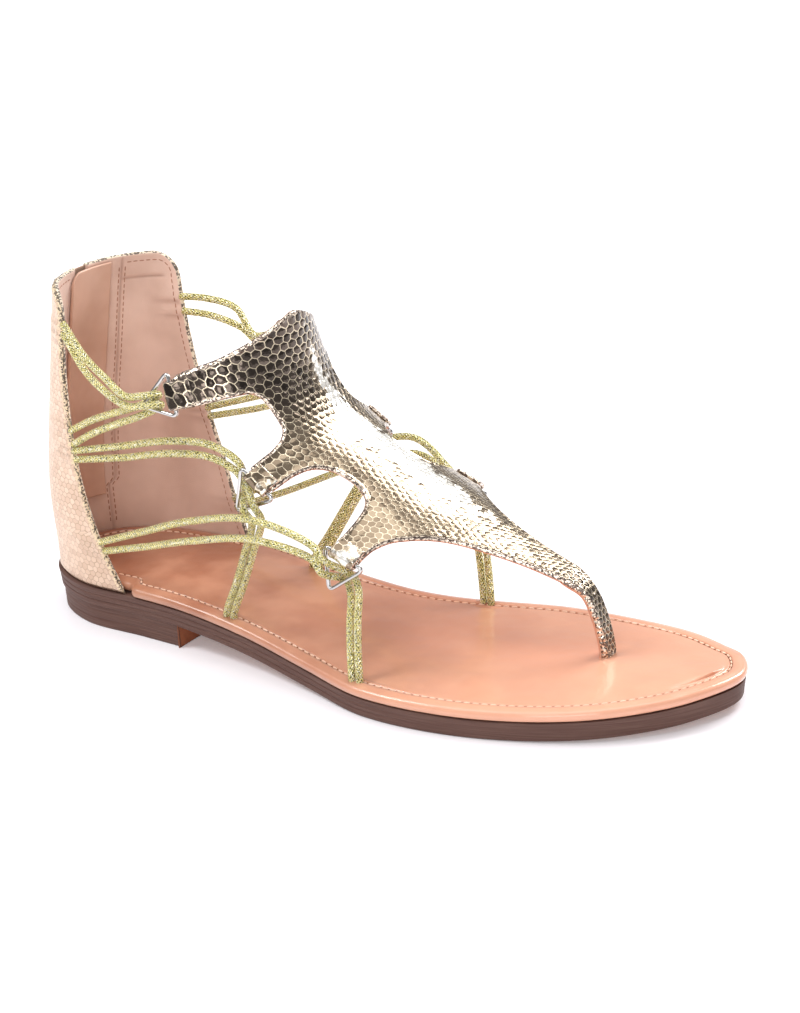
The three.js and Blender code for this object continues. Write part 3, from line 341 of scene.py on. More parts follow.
class Surface:
    """Grids of points that are welded into one closed mesh. Each grid holds millimetres, rows by columns."""

    def __init__(self):
        """Starts with no grids."""
        self.points = []
        self.quads = []
        self.cells = []
        self.looks = []
        self.marks = {}
        self.count = 0

    def add(self, grid, cells=None, look=0, flip=False, **marks):
        """Adds a grid: a quad for each square of four neighbours, turned over if flip is set. Cells are
        its texture coordinates, the look is its material's number, and marks are values at its points."""
        rows, columns = grid.shape[:2]
        ids = np.arange(rows * columns).reshape(rows, columns)
        quads = np.stack([ids[:-1, :-1], ids[:-1, 1:], ids[1:, 1:], ids[1:, :-1]], axis=-1).reshape(-1, 4)
        if flip:
            quads = quads[:, ::-1]
        flat = np.zeros((rows * columns, 2)) if cells is None else np.reshape(cells, (-1, 2))
        self.points.append(np.reshape(grid, (-1, 3)))
        self.quads.append(quads + self.count)
        self.cells.append(flat[quads])
        self.looks.append(np.full(len(quads), look))
        for name in set(self.marks) | set(marks):
            values = np.broadcast_to(marks.get(name, 0.0), (rows, columns)).reshape(-1)
            before = self.marks.setdefault(name, [np.zeros(self.count)])
            before.append(values)
        self.count += rows * columns

    def build(self, name, materials):
        """Welds equal points, drops squares that have no area and turns the faces outwards, by the sign of
        the volume that they close."""
        points = np.vstack(self.points)
        quads = np.vstack(self.quads)
        cells = np.vstack(self.cells)
        looks = np.concatenate(self.looks)
        _, first, weld = np.unique(np.round(points, 4), axis=0, return_index=True, return_inverse=True)
        points = points[first]
        quads = weld.reshape(-1)[quads]
        p = points[quads]
        volume = np.einsum("ij,ij->i", p[:, 0], np.cross(p[:, 1], p[:, 2])).sum()
        volume += np.einsum("ij,ij->i", p[:, 0], np.cross(p[:, 2], p[:, 3])).sum()
        if volume < 0:
            quads = quads[:, ::-1]
            cells = cells[:, ::-1]
        own = quads != np.roll(quads, -1, axis=1)
        corners = own.sum(axis=1)
        four = corners == 4
        three = corners == 3
        crossed = (quads[:, 0] == quads[:, 2]) | (quads[:, 1] == quads[:, 3])
        four &= ~crossed
        three &= ~crossed
        triangles = quads[three][own[three]].reshape(-1, 3)
        loops = np.concatenate([quads[four].reshape(-1), triangles.reshape(-1)])
        texture = np.concatenate([cells[four].reshape(-1, 2), cells[three][own[three]].reshape(-1, 2)])
        faces = quads[four].tolist() + triangles.tolist()
        place = (points - (HEEL_CENTRE, 0, 0)) * MM
        mesh = bpy.data.meshes.new(name)
        mesh.from_pydata(place.tolist(), [], faces)
        if len(mesh.loops) != len(loops):
            raise ValueError(f"{name}: {len(mesh.loops)} corners, not {len(loops)}")
        mesh.uv_layers.new(name="cells").data.foreach_set("uv", texture.reshape(-1))
        mesh.polygons.foreach_set("material_index", np.concatenate([looks[four], looks[three]]))
        mesh.polygons.foreach_set("use_smooth", np.ones(len(faces), bool))
        for mark, parts in self.marks.items():
            layer = mesh.attributes.new(name=mark, type="FLOAT", domain="POINT")
            layer.data.foreach_set("value", np.concatenate(parts)[first].astype(np.float32))
        for material in materials:
            mesh.materials.append(material)
        mesh.update()
        piece = bpy.data.objects.new(name, mesh)
        bpy.context.scene.collection.objects.link(piece)
        return piece


def rounded(depth, radius):
    """Half thickness near a rounded edge: radius times the square root of 1 - (1 - depth / radius)^2."""
    t = np.clip(depth / radius, 0, 1)
    return radius * np.sqrt(np.maximum(0, 1 - (1 - t) ** 2))


def sheet(surface, middle, normal, outer, inner, cells=None, looks=(0, 1), **marks):
    """A sheet with two faces: the middle layer plus its normal times the outer reach, and minus its normal
    times the inner reach. Both reaches are zero along the border, so that the faces close there."""
    surface.add(middle + normal * outer[..., None], cells, looks[0], **marks)
    surface.add(middle - normal * inner[..., None], cells, looks[1], flip=True, **marks)


def border_depth(grid):
    """Depth of each point of a grid from the grid's nearest end, along its rows and columns."""
    left = run_along(grid, 1)
    low = run_along(grid, 0)
    return np.minimum(np.minimum(left, left[:, -1:] - left), np.minimum(low, low[-1:] - low))


def grid_normals(grid):
    """Unit normals of a grid: its step along the columns crossed with its step along the rows."""
    return unit(np.cross(np.gradient(grid, axis=1), np.gradient(grid, axis=0)))


def tube(surface, path, radius, sides=14, closed=False):
    """A round tube along a path: a ring of points at each place, in a frame that is carried along the path
    without twisting, its ends drawn in to a point over three rings. Cells hold turns and length."""
    if closed:
        along = unit(np.roll(path, -1, axis=0) - np.roll(path, 1, axis=0))
        path = np.vstack([path, path[:1]])
        along = np.vstack([along, along[:1]])
        size = np.full(len(path), radius)
    else:
        along = unit(np.gradient(path, axis=0))
        ends = np.multiply(END_TAPER, radius)
        size = np.concatenate([ends, np.full(len(path), radius), ends[::-1]])
        path, along = (np.pad(rows, ((len(ends), len(ends)), (0, 0)), mode="edge") for rows in (path, along))
    slanted = (0.31, 0.83, 0.47)
    first = np.cross(along[0], slanted)
    first /= np.linalg.norm(first)
    frames = [first]
    for t in along[1:]:
        carried = frames[-1] - t * np.dot(frames[-1], t)
        frames.append(carried / np.linalg.norm(carried))
    side = np.array(frames)
    if closed:
        drift = math.atan2(np.dot(np.cross(side[-1], side[0]), along[0]), np.dot(side[-1], side[0]))
        turn = np.linspace(0, drift, len(path))[:, None]
        side = side * np.cos(turn) + np.cross(along, side) * np.sin(turn)
    other = np.cross(along, side)
    angle = np.linspace(0, TURN, sides + 1)
    ring = side[:, None] * np.cos(angle)[None, :, None] + other[:, None] * np.sin(angle)[None, :, None]
    grid = path[:, None] + ring * size[:, None, None]
    cells = np.stack(np.broadcast_arrays(angle[None] / TURN, run_along(path)[:, None]), axis=-1)
    surface.add(grid, cells)


def stitches(surface, path, normal, pitch, length, radius, look=0):
    """A row of threads along a path at even distances: each is an oval as long as the stitch, whose girth is
    the sine of its length to a power below one, which makes its ends blunt."""
    run = run_along(path)
    middle = np.arange(pitch / 2, run[-1], pitch)
    centre = along_run(middle, run, path)
    up = unit(along_run(middle, run, normal))
    along = unit(along_run(middle + length / 2, run, path) - along_run(middle - length / 2, run, path))
    side = np.cross(along, up)
    count = 7
    blunt = 0.6
    u = np.linspace(0, math.pi, count)[:, None]
    v = np.linspace(0, TURN, count)[None]
    oval = np.stack([
        np.broadcast_to(-np.cos(u) * length / 2, (count, count)),
        np.sin(u) ** blunt * np.cos(v) * radius,
        np.sin(u) ** blunt * np.sin(v) * radius,
    ], axis=-1)
    for c, a, s, n in zip(centre, along, side, up):
        surface.add(c + oval[..., :1] * a + oval[..., 1:2] * s + oval[..., 2:] * n, look=look)


def rise(x):
    """Height of the sole's underside: the heel's lift eased away over the waist, and a square toe spring."""
    share = np.asarray(x, float) / FOOT_LENGTH
    spring = np.maximum(0, (share - SPRING_START) / (1 - SPRING_START))
    return HEEL_LIFT * (1 - ease(share, WAIST_START, TREAD_START)) + TOE_SPRING * spring**2


def sole_top(x):
    """The underside's height plus the outsole's thickness."""
    return rise(x) + OUTSOLE_THICKNESS


def footbed_bottom(x):
    """The outsole's top plus the seam."""
    return sole_top(x) + SEAM


def footbed_top(x):
    """The footbed's underside plus its thickness."""
    return footbed_bottom(x) + FOOTBED_THICKNESS


def sole_outline():
    """Closed spline through the outline's table, read by its share of length from the heel's back."""
    at = np.multiply(SOLE_OUTLINE["at"], FOOT_LENGTH)
    inner = np.stack([at, np.multiply(SOLE_OUTLINE["inner"], BALL_WIDTH)], axis=-1)
    outer = np.stack([at, np.multiply(SOLE_OUTLINE["outer"], -BALL_WIDTH)], axis=-1)
    tip = [[FOOT_LENGTH, TOE_TIP * BALL_WIDTH]]
    return by_length(spline(np.vstack([[[0, 0]], inner, tip, outer[::-1]]), closed=True))


outline, _ = sole_outline()


def outline_at(share):
    """Points of the outline with their outward normals, a quarter turn from the way along it."""
    step = 0.0005
    along = unit(outline((share + step) % 1) - outline((share - step) % 1))
    return outline(share % 1), np.stack([-along[..., 1], along[..., 0]], axis=-1)


edge, edge_normal = outline_at(np.arange(EDGE_COLUMNS) / EDGE_COLUMNS)


def counter_column(name, up, size):
    """A column of the counter's table at a height share, times a driving dimension."""
    return smooth_table(COUNTER["up"], COUNTER[name], up) * size


def counter_front(up, inner):
    """The front edge of a side, drawn back by a round corner near the top."""
    front = np.where(
        inner, counter_column("inner", up, FOOT_LENGTH), counter_column("outer", up, FOOT_LENGTH)
    )
    into = np.maximum(0, up * COUNTER_HEIGHT - (COUNTER_HEIGHT - COUNTER_CORNER))
    return front - COUNTER_CORNER + np.sqrt(np.maximum(0, COUNTER_CORNER**2 - into**2))


def inset_edges():
    """The outline drawn in by the counter's inset, as reach against distance from the heel's back."""
    found = {}
    for name, sign in SIDES.items():
        share = np.linspace(0, 0.5, 3000) if sign > 0 else 1 - np.linspace(0, 0.5, 3000)
        point, normal = outline_at(share)
        found[name] = (point - normal * COUNTER_INSET) * (1, sign)
    return found


INSET_EDGES = inset_edges()


def counter_plan(around, up):
    """A place on the counter's outer face in plan, around from -1 (outer edge) over the back to 1 (inner
    edge): half an oval above, which eases into the sole's outline at its foot."""
    around, up = np.broadcast_arrays(np.asarray(around, float), np.asarray(up, float))
    inner = around >= 0
    back = counter_column("back", up, FOOT_LENGTH)
    front = counter_front(up, inner)
    share = 1 - np.cos(np.abs(around) * math.pi / 2)
    x = back + (front - back) * share
    cosine = np.maximum(0, 1 - (x - back) / counter_column("round", up, COUNTER_WIDTH))
    y = counter_column("half", up, COUNTER_WIDTH) * np.sqrt(1 - cosine**2)
    foot_x = COUNTER_INSET + (front - COUNTER_INSET) * share
    foot_y = np.where(
        inner,
        np.interp(foot_x, *INSET_EDGES["inner"].T),
        np.interp(foot_x, *INSET_EDGES["outer"].T),
    )
    foot = 1 - ease(up, 0, FOOT_BLEND)
    return x + (foot_x - x) * foot, np.where(inner, 1, -1) * (y + (foot_y - y) * foot)


def counter_foot():
    """Height of the counter's lower edge."""
    return float(sole_top(0)) + SEAM


def counter_point(around, up, sunk):
    """A point of the counter: its place in plan moved inwards, square to the face, by the sunk length."""
    step = 0.004
    x, y = counter_plan(around, up)
    before = counter_plan(np.maximum(-1, around - step), up)
    after = counter_plan(np.minimum(1, around + step), up)
    tx = after[0] - before[0]
    ty = after[1] - before[1]
    size = np.hypot(tx, ty)
    z = counter_foot() + np.broadcast_to(up, x.shape) * COUNTER_HEIGHT
    return np.stack([x + ty / size * sunk, y - tx / size * sunk, z], axis=-1)


def around_at(y, up):
    """Where around the counter its face has a given place across, found by halving."""
    y, up = np.broadcast_arrays(np.asarray(y, float), np.asarray(up, float))
    low = np.full(y.shape, -1.0)
    high = np.full(y.shape, 1.0)
    for _ in range(24):
        middle = (low + high) / 2
        below = counter_plan(middle, up)[1] < y
        low = np.where(below, middle, low)
        high = np.where(below, high, middle)
    return (low + high) / 2


def spine_curves():
    """The bridge's spline in the middle plane, read by length, and the post's down into its slot."""
    x = np.multiply(SPINE["x"], FOOT_LENGTH)
    z = np.multiply(SPINE["z"], INSTEP_HEIGHT)
    bridge = by_length(spline(np.stack([x, z], axis=-1)))
    foot = POST_PLACE * FOOT_LENGTH
    top = float(footbed_top(foot))
    end_x, end_z = x[-1], z[-1]
    lean = POST_LEAN * FOOT_LENGTH
    post = by_length(spline([
        (end_x, end_z),
        (end_x + (foot - end_x) * 0.52, top + (end_z - top) * 0.80),
        (foot - lean, top + (end_z - top) * 0.48),
        (foot, top + POST_DEPTH),
        (foot, top),
        (foot, top - POST_DEPTH),
    ]))
    return bridge, post


(bridge_at, bridge_length), (post_at, post_length) = spine_curves()


def spine_frame(along):
    """Point, normal and arch radius of the vamp's spine, along from 0 to 1 on the bridge and on to 2 down
    the post. The normal stands square to the spine in the middle plane."""
    along = np.asarray(along, float)
    step = 0.004

    def place(t):
        """Places in the middle plane, on the bridge up to 1 and on the post beyond."""
        on_bridge = bridge_at(np.clip(t, 0, 1))
        on_post = post_at(np.clip(t - 1, 0, 1))
        return np.where((t <= 1)[..., None], on_bridge, on_post)

    point = place(along)
    tangent = unit(place(np.minimum(along + step, 2)) - place(np.maximum(along - step, 0)))
    start = SPINE["x"][0] * FOOT_LENGTH
    foot = POST_PLACE * FOOT_LENGTH
    share = np.minimum(1, (point[..., 0] - start) / (foot - start))
    y = BALL_WIDTH * (SPINE_START_SHIFT + (POST_SHIFT - SPINE_START_SHIFT) * share)
    rows = np.arange(len(SPINE["arch"]))
    arch = np.interp(np.minimum(1, along) * rows[-1], rows, SPINE["arch"]) * BALL_WIDTH
    point = np.stack([point[..., 0], y, point[..., 1]], axis=-1)
    normal = np.stack([-tangent[..., 1], np.zeros_like(y), tangent[..., 0]], axis=-1)
    return point, normal * np.where(normal[..., :1] < 0, -1, 1), arch


def vamp_point(along, across, off):
    """A point of the vamp: across its arch by a length, on a circle whose radius is the arch's plus off."""
    point, normal, arch = spine_frame(along)
    angle = across / arch
    radius = arch + off
    drop = arch - radius * np.cos(angle)
    side = np.zeros(point.shape)
    side[..., 1] = radius * np.sin(angle)
    return point - normal * drop[..., None] + side


def ring_reach(ring):
    """How far across the vamp a ring's bar lies: its tab's reach and a little over the loop's wall."""
    return ring["reach"] * BALL_WIDTH + LOOP_WALL * 1.1


def ring_frame(ring, sign):
    """Frame of a ring: the middle of its bar, the bar's way, the pull, and the way off its plane."""
    reach = sign * ring_reach(ring)
    step = LOOP_LENGTH / 2 / bridge_length
    along = ring["along"]
    origin = vamp_point(along, reach, 0.0)
    bar = unit(vamp_point(along + step, reach, 0.0) - vamp_point(along - step, reach, 0.0))
    pull = np.array([-ring["back"], sign * ring["out"], -ring["down"]])
    pull = unit(pull - bar * np.dot(pull, bar))
    off = unit(np.cross(bar, pull))
    if off[1] * sign < 0:
        off = -off
    return {"origin": origin, "bar": bar, "pull": pull, "off": off}


def on_ring(ring, u, v, w):
    """A place in a ring's own frame: along its bar, along its pull and off its plane."""
    return ring["origin"] + ring["bar"] * u + ring["pull"] * v + ring["off"] * w


RING_TIP = RING_SIDE * math.sin(math.pi / 3)
RING_CORNERS = np.array([(-RING_SIDE / 2, 0), (RING_SIDE / 2, 0), (0, RING_TIP)])


def on_wire(ring, wire, share, away, off):
    """A place on a ring's rear or front wire, moved out of the triangle and off its plane."""
    if wire == "rear":
        start, end, sign = RING_CORNERS[0], RING_CORNERS[2], -1
    else:
        start, end, sign = RING_CORNERS[2], RING_CORNERS[1], 1
    u, v = start + (end - start) * share
    return on_ring(ring, u + sign * math.sin(math.pi / 3) * away, v + math.cos(math.pi / 3) * away, off)


def anchor_point(run, which, sign):
    """Where a cord leaves the counter's front edge."""
    edge_point = counter_point(float(sign), ANCHORS[run][which], COUNTER_WALL / 2)
    return edge_point + (CORD_START, 0, 0)


def stretch_points(start, end, rows, sign):
    """Points of a free stretch: shares of the straight line between its ends, bowed outwards and up."""
    return [start + (end - start) * at + (0, sign * out, up) for at, out, up in rows]


def slot_centre(side, place):
    """Middle of a cord's slot in the footbed."""
    at, reach = SLOTS[side, place]
    return at * FOOT_LENGTH, SIDES[side] * reach * BALL_WIDTH


def upper_route(which, side):
    """Points of a cord from the counter round the upper ring's tip and back to the counter below."""
    sign = SIDES[side]
    ring = ring_frame(RINGS["upper"], sign)
    lane = (which - 0.5) * (CORD_PITCH + 1.5 * CORD_CLEARANCE)
    turn = [on_ring(ring, lane + lean, RING_TIP + behind, off) for behind, off, lean in TIP_TURN]
    high = f"high_{side}"
    start = anchor_point(high, which, sign)
    end = anchor_point("tie", which, sign)
    return [
        start,
        *stretch_points(start, turn[0], BOWS[high][which], sign),
        *turn,
        *stretch_points(turn[-1], end, BOWS["tie"][which], sign),
        end,
    ]


def dropping_route(which, side, ring_name, run, place, pass_side):
    """Points of a cord from the counter through a ring and down into the footbed. It enters on the given
    side of the rear wire and leaves on the other side of the front wire."""
    sign = SIDES[side]
    ring = ring_frame(RINGS[ring_name], sign)
    rear, front, lift = DROP_WRAP[which]
    off = pass_side * lift * CORD_CLEAR
    start = anchor_point(run, which, sign)
    arrive = on_wire(ring, "rear", rear - 0.28, CORD_CLEAR * 1.3, off)
    leave = on_wire(ring, "front", front, CORD_CLEAR * 2, -off / 2)
    x, y = slot_centre(side, place)
    x += (0.5 - which) * CORD_PITCH
    mouth = np.array([x, y, float(footbed_top(x)) + CORD_RADIUS])
    end = np.array([x, y, float(footbed_bottom(x)) + 2 * SEAM])
    return [
        start,
        *stretch_points(start, arrive, BOWS[run][which], sign),
        arrive,
        on_wire(ring, "rear", rear, 0, off),
        on_wire(ring, "front", front, 0, -off),
        leave,
        *stretch_points(leave, mouth, BOWS[f"{run}_drop"][which], sign),
        mouth,
        end,
    ]


def node(tree, kind, inputs=None, **settings):
    """Adds a node, sets it, and links or fills its inputs."""
    made = tree.nodes.new(kind)
    for key, value in settings.items():
        setattr(made, key, value)
    fill_inputs(tree, made, inputs or {})
    return made


def fill(tree, socket, value):
    """Links an input to another node's output, or gives it a constant."""
    if isinstance(value, bpy.types.NodeSocket):
        tree.links.new(value, socket)
    elif isinstance(value, tuple) and socket.type == "RGBA":
        socket.default_value = (*value, 1.0)
    else:
        socket.default_value = value


def fill_inputs(tree, made, inputs):
    """Links or fills a node's inputs, by their names or numbers."""
    for key, value in inputs.items():
        fill(tree, made.inputs[key], value)


def maths(tree, operation, *values):
    """A sum or other operation on single values."""
    return node(tree, "ShaderNodeMath", dict(enumerate(values)), operation=operation).outputs[0]


def vectors(tree, operation, *values):
    """A sum or other operation on vectors."""
    return node(tree, "ShaderNodeVectorMath", dict(enumerate(values)), operation=operation)


def blend(tree, share, a, b):
    """A colour between a and b."""
    return node(tree, "ShaderNodeMix", {0: share, 6: a, 7: b}, data_type="RGBA").outputs[2]


def step(tree, value, low, high, bottom=0.0, top=1.0):
    """A smooth step of a value between two levels."""
    made = node(tree, "ShaderNodeMapRange", dict(enumerate((value, low, high, bottom, top))))
    made.interpolation_type = "SMOOTHSTEP"
    return made.outputs[0]


def mark(tree, name):
    """A value that the piece carries at its points."""
    return node(tree, "ShaderNodeAttribute", attribute_name=name).outputs["Fac"]


def place_mm(tree):
    """The place on the piece, in millimetres of its object's own axes."""
    place = node(tree, "ShaderNodeTexCoord").outputs["Object"]
    return vectors(tree, "MULTIPLY", place, (1000.0, 1000.0, 1000.0)).outputs[0]


def cells_of(tree):
    """The piece's own texture coordinates."""
    return node(tree, "ShaderNodeUVMap", uv_map="cells").outputs[0]


def noise(tree, place, scale, detail=2.0, roughness=0.5):
    """Soft noise from 0 to 1 with a size of one over the scale."""
    found = node(
        tree, "ShaderNodeTexNoise",
        {"Vector": place, "Scale": scale, "Detail": detail, "Roughness": roughness},
    )
    return found.outputs[0]


def new_group(name, vector, values, outputs):
    """An empty shader group: a vector input, single values with their defaults, and single values out."""
    tree = bpy.data.node_groups.new(name, "ShaderNodeTree")
    tree.interface.new_socket(name=vector, in_out="INPUT", socket_type="NodeSocketVector")
    for label, value in values.items():
        socket = tree.interface.new_socket(name=label, in_out="INPUT", socket_type="NodeSocketFloat")
        socket.default_value = value
    for label in outputs:
        tree.interface.new_socket(name=label, in_out="OUTPUT", socket_type="NodeSocketFloat")
    inside = tree.nodes.new("NodeGroupInput")
    outside = tree.nodes.new("NodeGroupOutput")
    return tree, inside.outputs, outside.inputs


def scale_group():
    """Snake scales: six-sided cells of unit width, their outlines, a random value for each, a dome, and a
    height that leans each scale its own way."""
    tree, given, result = new_group(
        "snake scales", "Cells", {"Line": 0.1, "Warp": 0.2}, ("Outline", "Random", "Dome", "Tilt")
    )
    grey = (0.5, 0.5, 0.5)
    wobble = node(tree, "ShaderNodeTexNoise", {"Vector": given["Cells"], "Scale": 0.9, "Detail": 1.0})
    centred = vectors(tree, "SUBTRACT", wobble.outputs["Color"], grey).outputs[0]
    shift = node(tree, "ShaderNodeVectorMath", {0: centred, "Scale": given["Warp"]}, operation="SCALE")
    flat = vectors(tree, "MULTIPLY", shift.outputs[0], (1.0, 1.0, 0.0)).outputs[0]
    place = vectors(tree, "ADD", given["Cells"], flat).outputs[0]
    half = (0.5, HEX_ROW, 1.0)
    low = (-0.5, -HEX_ROW, -1.0)
    even = vectors(tree, "WRAP", place, half, low).outputs[0]
    moved = vectors(tree, "ADD", place, (0.5, HEX_ROW, 0.0)).outputs[0]
    odd = vectors(tree, "WRAP", moved, half, low).outputs[0]
    nearer = maths(
        tree, "LESS_THAN",
        vectors(tree, "LENGTH", even).outputs["Value"],
        vectors(tree, "LENGTH", odd).outputs["Value"],
    )
    local = node(tree, "ShaderNodeMix", {0: nearer, 4: odd, 5: even}, data_type="VECTOR").outputs[1]
    folded = vectors(tree, "ABSOLUTE", local).outputs[0]
    slant = vectors(tree, "DOT_PRODUCT", folded, (0.5, HEX_ROW, 0.0)).outputs["Value"]
    width = node(tree, "ShaderNodeSeparateXYZ", {0: folded}).outputs[0]
    away = maths(tree, "MAXIMUM", slant, width)
    inner = maths(tree, "SUBTRACT", 0.5, given["Line"])
    centre = vectors(tree, "SUBTRACT", place, local).outputs[0]
    off_lines = vectors(tree, "ADD", centre, (0.11, 0.13, 0.0)).outputs[0]
    home = vectors(tree, "SNAP", off_lines, (0.25, 0.25, 1.0)).outputs[0]
    chance, tint = node(tree, "ShaderNodeTexWhiteNoise", {"Vector": home}, noise_dimensions="2D").outputs
    lean = vectors(tree, "SUBTRACT", tint, grey).outputs[0]
    tree.links.new(vectors(tree, "DOT_PRODUCT", lean, local).outputs["Value"], result["Tilt"])
    tree.links.new(step(tree, away, inner, 0.5), result["Outline"])
    tree.links.new(chance, result["Random"])
    tree.links.new(step(tree, away, 0.5, 0.1), result["Dome"])
    return tree


def speckle_group():
    """Specks: cells of a given size in millimetres, with a random value for each and their raised middles."""
    tree, given, result = new_group("specks", "Place", {"Size": 0.5}, ("Random", "Height"))
    scale = maths(tree, "DIVIDE", 1.0, given["Size"])
    cell = node(tree, "ShaderNodeTexVoronoi", {"Vector": given["Place"], "Scale": scale})
    tint = node(tree, "ShaderNodeSeparateColor", {0: cell.outputs["Color"]})
    tree.links.new(tint.outputs[0], result["Random"])
    tree.links.new(step(tree, cell.outputs["Distance"], 0.6, 0.0), result["Height"])
    return tree


def grain_group():
    """Leather grain: fine pores and slow tone, both from 0 to 1, for a grain size in millimetres."""
    tree, given, result = new_group("leather grain", "Place", {"Size": 0.6}, ("Height", "Tone"))
    scale = maths(tree, "DIVIDE", 1.0, given["Size"])
    fine = noise(tree, given["Place"], scale, 3.0, 0.6)
    slow = noise(tree, given["Place"], 0.045, 3.0, 0.55)
    tree.links.new(fine, result["Height"])
    tree.links.new(slow, result["Tone"])
    return tree


SCALES = scale_group()
SPECKS = speckle_group()
GRAIN = grain_group()


def grouped(tree, group, **inputs):
    """A shader group in a material's tree: its outputs by name."""
    made = tree.nodes.new("ShaderNodeGroup")
    made.node_tree = group
    fill_inputs(tree, made, inputs)
    return made.outputs


def new_material(name):
    """A material with its tree and its main shader."""
    material = bpy.data.materials.new(name)
    material.use_nodes = True
    tree = material.node_tree
    return material, tree, tree.nodes["Principled BSDF"]


def raise_by(tree, shader, height, distance):
    """Gives a shader the normals of a height, in millimetres."""
    bump = node(tree, "ShaderNodeBump", {"Height": height, "Distance": distance * MM})
    tree.links.new(bump.outputs[0], shader.inputs["Normal"])


def foil_material():
    """Metallic snake leather: dark cells in bright outlines on the lobes, a painted dark reflection, taupe
    gold towards the toe, a painted highlight along the crown, and a dashed rim."""
    material, tree, shader = new_material("snake foil")
    place = place_mm(tree)
    scales = grouped(tree, SCALES, Cells=cells_of(tree), Line=0.08, Warp=0.55)
    specks = grouped(tree, SPECKS, Place=place, Size=0.5)
    # The dark cell colour, laid on by the dark mark, is a painted dark reflection on the lobes.
    dark = blend(tree, scales["Random"], (0.045, 0.036, 0.030), (0.14, 0.11, 0.09))
    taupe = blend(tree, scales["Random"], (0.235, 0.175, 0.12), (0.42, 0.33, 0.23))
    cell = blend(tree, mark(tree, "dark"), taupe, dark)
    patches = noise(tree, place, 0.35, 4.0, 0.65)
    # Painted highlight: the glow mark, broken up by noise patches and a random share for each scale, turns
    # the cells near white.
    lit = maths(tree, "ADD", mark(tree, "glow"), maths(tree, "MULTIPLY_ADD", patches, 0.9, -0.45))
    lit = maths(tree, "ADD", lit, maths(tree, "MULTIPLY_ADD", scales["Random"], 0.3, -0.15))
    glow = step(tree, lit, 0.42, 0.60)
    line = maths(tree, "MAXIMUM", scales["Outline"], glow)
    bright = blend(tree, glow, (0.82, 0.70, 0.52), (1.0, 0.97, 0.90))
    colour = blend(tree, line, cell, bright)
    dash = step(tree, specks["Random"], 0.42, 0.55)
    rim_colour = blend(tree, dash, (0.16, 0.12, 0.10), (0.78, 0.66, 0.54))
    rim = step(tree, mark(tree, "edge"), 1.15, 0.8)
    colour = blend(tree, rim, colour, rim_colour)
    roughness = step(tree, line, 0.0, 1.0, 0.18, 0.28)
    fill_inputs(tree, shader, {"Base Color": colour, "Metallic": 0.88, "Roughness": roughness})
    depth = maths(tree, "MULTIPLY_ADD", mark(tree, "dark"), 0.75, 0.25)
    relief = maths(tree, "MULTIPLY", scales["Dome"], depth)
    height = maths(tree, "ADD", relief, maths(tree, "MULTIPLY", patches, 0.6))
    height = maths(tree, "MULTIPLY_ADD", scales["Tilt"], 0.9, height)
    raise_by(tree, shader, height, 0.20)
    return material


def counter_foil_material():
    """Pale rose-gold leather with a fine scale print, a speckled edge and painted shade in the creases below
    the cords.
    """
    material, tree, shader = new_material("rose foil")
    place = place_mm(tree)
    scales = grouped(tree, SCALES, Cells=cells_of(tree), Line=0.10, Warp=0.6)
    specks = grouped(tree, SPECKS, Place=place, Size=0.5)
    tone = grouped(tree, GRAIN, Place=place, Size=0.7)["Tone"]
    cell = blend(tree, scales["Random"], (0.66, 0.47, 0.345), (0.79, 0.60, 0.46))
    worn = step(tree, tone, 0.35, 0.65)
    print_line = maths(tree, "MULTIPLY", scales["Outline"], maths(tree, "MULTIPLY_ADD", worn, 0.4, 0.5))
    colour = blend(tree, print_line, cell, (0.42, 0.27, 0.175))
    dash = step(tree, specks["Random"], 0.45, 0.6)
    rim_colour = blend(tree, dash, (0.11, 0.085, 0.06), (0.78, 0.62, 0.42))
    # Painted shade just below each cord's run, broken into patches by noise.
    scuff = maths(tree, "MULTIPLY", mark(tree, "scuff"), step(tree, noise(tree, place, 1.3, 3.0), 0.4, 0.6))
    colour = blend(tree, scuff, colour, (0.22, 0.15, 0.10))
    reach = maths(tree, "MULTIPLY_ADD", specks["Random"], 1.2, -0.5)
    rim = step(tree, maths(tree, "SUBTRACT", mark(tree, "edge"), reach), 0.9, 0.45)
    colour = blend(tree, rim, colour, rim_colour)
    fill_inputs(tree, shader, {"Base Color": colour, "Metallic": 0.35, "Roughness": 0.42})
    raise_by(tree, shader, scales["Dome"], 0.10)
    return material


def lining_material():
    """Dusty pink suede of the counter's lining, darker along its seam, with painted shade in the creases
    below the cords.
    """
    material, tree, shader = new_material("pink lining")
    grain = grouped(tree, GRAIN, Place=place_mm(tree), Size=0.35)
    colour = blend(tree, step(tree, grain["Tone"], 0.3, 0.7), (0.64, 0.43, 0.34), (0.77, 0.55, 0.45))
    # Darker by the mark: painted shade in the creases below the cords, and the seam's dark line.
    colour = blend(tree, mark(tree, "crease"), colour, (0.36, 0.19, 0.14))
    chance = grouped(tree, SPECKS, Place=place_mm(tree), Size=0.6)["Random"]
    piping = blend(tree, step(tree, chance, 0.42, 0.55), (0.13, 0.10, 0.08), (0.80, 0.68, 0.52))
    colour = blend(tree, step(tree, mark(tree, "edge"), 0.75, 0.45), colour, piping)
    fill_inputs(tree, shader, {"Base Color": colour, "Roughness": 0.85, "Sheen Weight": 0.25})
    raise_by(tree, shader, grain["Height"], 0.12)
    return material


def leather_material(name, low, high, roughness, size=0.6, bump=0.06):
    """Smooth leather between two tones."""
    material, tree, shader = new_material(name)
    grain = grouped(tree, GRAIN, Place=place_mm(tree), Size=size)
    colour = blend(tree, step(tree, grain["Tone"], 0.3, 0.7), low, high)
    fill_inputs(tree, shader, {"Base Color": colour, "Roughness": roughness})
    raise_by(tree, shader, grain["Height"], bump)
    return material


